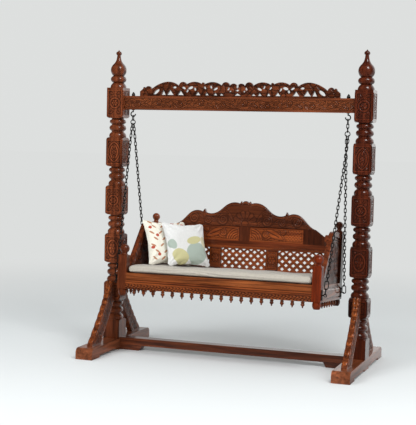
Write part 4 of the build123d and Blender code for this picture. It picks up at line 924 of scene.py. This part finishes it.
# ---- Cushions ------------------------------------------------------------------------------
# Two square cotton cushions lean in the left corner, turned to the right. The cream one is sewn
# with small rust marks and red dots, the white one is printed with sage, olive and sand pebbles.
cushion_turn, cushion_lean = math.radians(50.0), math.radians(24.0)
cushion_side = 0.324
cushion_wide = bench_x * math.cos(cushion_turn) + bench_y * math.sin(cushion_turn)
cushion_face = (
    bench_x * math.sin(cushion_turn) * math.cos(cushion_lean)
    - bench_y * math.cos(cushion_turn) * math.cos(cushion_lean)
    + bench_z * math.sin(cushion_lean)
)
cushion_up = np.cross(cushion_face, cushion_wide)
cushion_axes = np.stack([cushion_wide, cushion_up, cushion_face])


def spots(tree, place, spot_list, colour, under):
    """Paint ellipses on the cloth; each is (across, up, half width, half height, turn)."""
    for across, up, half_width, half_height, turn in spot_list:
        sockets = {"Rotation": (0, 0, turn), "Scale": (half_width, half_height, 1e3), "Vector": place}
        to_spot = add_node(tree, "Mapping", {**sockets, "Location": (across, up, 0)}, vector_type="TEXTURE")
        size = add_node(tree, "VectorMath", {0: to_spot.outputs["Vector"]}, operation="LENGTH")
        sockets = {"Value": size.outputs["Value"], "From Min": 1.03, "From Max": 0.97}
        inside = add_node(tree, "MapRange", sockets)
        sockets = {0: inside.outputs["Result"], 6: under, 7: (*colour, 1)}
        under = add_node(tree, "Mix", sockets, data_type="RGBA").outputs[2]
    return under


def print_cloth(material, centre, layers):
    """Print layers of spots on a cushion's cloth, in the cushion's own across, up and out axes."""
    tree = material.node_tree
    axes = Matrix(cushion_axes.tolist())
    sockets = {"Rotation": axes.to_euler(), "Location": -(axes @ Vector(centre))}
    place = tree.nodes["Texture Coordinate"].outputs["Object"]
    to_face = add_node(tree, "Mapping", {**sockets, "Vector": place})
    colour = tree.nodes["Mix"].outputs[2]
    for spot_list, shade in layers:
        colour = spots(tree, to_face.outputs["Vector"], spot_list, shade, colour)
    feed(tree, tree.nodes["Principled BSDF"], {"Base Color": colour})


def cushion_middle(node):
    """Centre of a CAD cushion, in the frame."""
    mesh_points = read_points(nodes[node].data)
    return (mesh_points.min(0) + mesh_points.max(0)) / 2


def make_cushion(name, node, material, slot, drop):
    """Stuffed cushion with creases that run in from its four corners; its top edge sinks by drop."""
    centre = cushion_middle(node)
    piece = stuff(name, node, 0.006, 4.0, 0.024, (0.985, 0.985, 0.8), centre, cushion_axes)
    points = read_points(piece.data)
    across, up, out = ((points - centre) @ cushion_axes.T).T
    half = cushion_side / 2
    pull = np.zeros_like(across)
    for way_x in (-1, 1):
        for way_z in (-1, 1):
            run = np.hypot(across - way_x * half, up - way_z * half)
            turn = np.arctan2(up - way_z * half, across - way_x * half)
            pull += np.exp(-(((run - 0.07) / 0.045) ** 2)) * np.cos(turn * 14 + way_x)
    out = out + np.sign(out) * np.clip(np.abs(out) / 0.02, 0, 1) * 0.0024 * pull
    up = up - drop * np.clip(up / half, 0, 1)
    write_points(piece.data, centre + np.stack([across, up, out], -1) @ cushion_axes)
    finish_pad(piece, material, slot, 0.7, node)


cream = cloth("cream cotton", 4200.0, 0.0005, (0.66, 0.63, 0.54), (0.8, 0.77, 0.68))
rust_marks = [
    (x, y, 0.006, 0.018, way * 0.9)
    for row, y in enumerate((-0.12, -0.075, -0.03, 0.015, 0.06, 0.105, 0.14))
    for x, way in ((-0.12 + 0.02 * (row % 2), 1), (-0.06 + 0.02 * (row % 2), -1), (0.02, 1), (0.1, -1))
]
dot_radius = 0.011
red_dots = [
    (x, y, dot_radius, dot_radius, 0)
    for x, y in (
        (-0.088, -0.095), (-0.125, -0.045), (-0.085, 0.04), (-0.125, 0.1),
        (0.05, 0.135), (0.125, 0.125), (0.0, 0.13),
    )
]
sprig_print = [(rust_marks, (0.42, 0.2, 0.11)), (red_dots, (0.4, 0.07, 0.04))]
print_cloth(cream, cushion_middle("sprig_cushion"), sprig_print)
make_cushion("cream_cushion", "sprig_cushion", cream, "cream_cotton", 0.0)

white = cloth("white cotton", 4200.0, 0.0005, (0.58, 0.58, 0.57), (0.71, 0.71, 0.7))
sage_pebbles = [(0.055, -0.075, 0.08, 0.072, 0.4), (-0.115, -0.015, 0.024, 0.036, 0.3)]
olive_pebbles = [(-0.07, -0.1, 0.06, 0.05, -0.5), (0.045, 0.015, 0.056, 0.026, 0.25)]
sand_pebbles = [(0.125, 0.0, 0.026, 0.045, 0.3)]
pebble_print = [
    (sage_pebbles, (0.34, 0.4, 0.35)), (olive_pebbles, (0.5, 0.47, 0.25)), (sand_pebbles, (0.56, 0.52, 0.36)),
]
print_cloth(white, cushion_middle("leaf_cushion"), pebble_print)
make_cushion("white_cushion", "leaf_cushion", white, "white_cotton", 0.008)

# ---- Floor, light and camera -----------------------------------------------------------------
# A plain pale floor runs out of sight under a white studio. Large soft lamps stand in front, and
# the studio is bright behind and to the right, so that polished faces turned that way shine pale.
floor_half = 60.0
floor_corners = [(x * floor_half, y * floor_half, 0) for x, y in ((-1, -1), (1, -1), (1, 1), (-1, 1))]
floor_mesh = bpy.data.meshes.new("floor")
floor_mesh.from_pydata(floor_corners, [], [(0, 1, 2, 3)])
floor = bpy.data.objects.new("floor", floor_mesh)
bpy.context.scene.collection.objects.link(floor)
floor_paint, tree, floor_shader = new_material("pale floor")
ray = add_node(tree, "LightPath", {}).outputs
place = add_node(tree, "TexCoord", {}).outputs["Object"]
parts = add_node(tree, "SeparateXYZ", {0: place}).outputs
# Painted reflection: seen in polished faces, the floor in front of the stand turns near black, so that they
# mirror no pale floor.
in_front = add_node(tree, "MapRange", {"Value": parts["Y"], "From Min": 0.4, "From Max": -0.6}).outputs[0]
shaded = add_node(tree, "Math", {0: in_front, 1: ray["Is Glossy Ray"]}, operation="MULTIPLY").outputs[0]
sockets = {0: shaded, 6: (0.76, 0.79, 0.8, 1), 7: (0.03, 0.03, 0.03, 1)}
paint = add_node(tree, "Mix", sockets, data_type="RGBA")
feed(tree, floor_shader, {"Base Color": paint.outputs[2], "Roughness": 0.6, "Specular IOR Level": 0.2})
distance = add_node(tree, "VectorMath", {0: place}, operation="LENGTH").outputs["Value"]
sockets = {"Value": distance, "From Min": 1.6, "From Max": 6.0}
far = add_node(tree, "MapRange", sockets, interpolation_type="SMOOTHSTEP").outputs[0]
far_seen = add_node(tree, "Math", {0: far, 1: ray["Is Camera Ray"]}, operation="MULTIPLY").outputs[0]
wall_colour = (0.98, 1.0, 0.99, 1)
wall_light = add_node(tree, "Emission", {"Color": wall_colour, "Strength": 0.73}).outputs[0]
blend = add_node(tree, "MixShader", {0: far_seen, 1: floor_shader.outputs[0], 2: wall_light})
feed(tree, tree.nodes["Material Output"], {"Surface": blend.outputs[0]})
floor_mesh.materials.append(floor_paint)

world = bpy.data.worlds.new("studio")
bpy.context.scene.world = world
world.use_nodes = True
tree = world.node_tree
way_out = add_node(tree, "TexCoord", {}).outputs["Generated"]
facing = add_node(tree, "VectorMath", {0: way_out, 1: (0.45, 0.88, 0.1)}, operation="DOT_PRODUCT")
sockets = {"Value": facing.outputs["Value"], "From Min": 0.4, "From Max": 1.0, "To Min": 0.02, "To Max": 1.4}
reflected = add_node(tree, "MapRange", sockets, interpolation_type="SMOOTHSTEP").outputs[0]
ray = add_node(tree, "LightPath", {}).outputs
lit = add_node(tree, "Mix", {0: ray["Is Glossy Ray"], 2: 0.6, 3: reflected}).outputs[0]
seen = add_node(tree, "Mix", {0: ray["Is Camera Ray"], 2: lit, 3: 0.74}).outputs[0]
feed(tree, tree.nodes["Background"], {"Color": wall_colour, "Strength": seen})


def soft_lamp(name, place, aim, size, power, shine):
    """Square area lamp at a place, turned to its aim; one without shine isn't seen in polished faces."""
    light = bpy.data.lights.new(name, "AREA")
    light.size = size
    light.energy = power
    lamp = bpy.data.objects.new(name, light)
    lamp.visible_glossy = shine
    lamp.location = place
    lamp.rotation_euler = (Vector(aim) - Vector(place)).to_track_quat("-Z", "Y").to_euler()
    bpy.context.scene.collection.objects.link(lamp)


soft_lamp("key lamp", (-2.5, -5.5, 4.0), (0, 0, 0.9), 3.0, 225, False)
soft_lamp("fill lamp", (4.5, -4.5, 2.5), (0, 0, 0.8), 3.0, 105, False)
soft_lamp("window", (2.9, -3.1, 5.4), (0, 0, 1.0), 2.0, 160, True)

camera_yaw, camera_pitch, camera_roll = 0.34, 0.0693, 0.022
view_way = Vector((
    -math.sin(camera_yaw) * math.cos(camera_pitch),
    math.cos(camera_yaw) * math.cos(camera_pitch),
    -math.sin(camera_pitch),
))
level_right = Vector((math.cos(camera_yaw), math.sin(camera_yaw), 0))
level_up = level_right.cross(view_way)
right_way = level_right * math.cos(camera_roll) + level_up * math.sin(camera_roll)
up_way = level_up * math.cos(camera_roll) - level_right * math.sin(camera_roll)
camera_data = bpy.data.cameras.new("camera")
camera_data.lens = 100.38
camera_data.sensor_width = 36.0
camera_data.sensor_fit = "HORIZONTAL"
camera = bpy.data.objects.new("camera", camera_data)
camera_place = Vector((2.3704, -7.2305, 1.4908))
camera.matrix_world = Matrix((
    (right_way.x, up_way.x, -view_way.x, camera_place.x),
    (right_way.y, up_way.y, -view_way.y, camera_place.y),
    (right_way.z, up_way.z, -view_way.z, camera_place.z),
    (0, 0, 0, 1),
))
bpy.context.scene.collection.objects.link(camera)
bpy.context.scene.camera = camera
bpy.context.scene.view_settings.view_transform = "Standard"
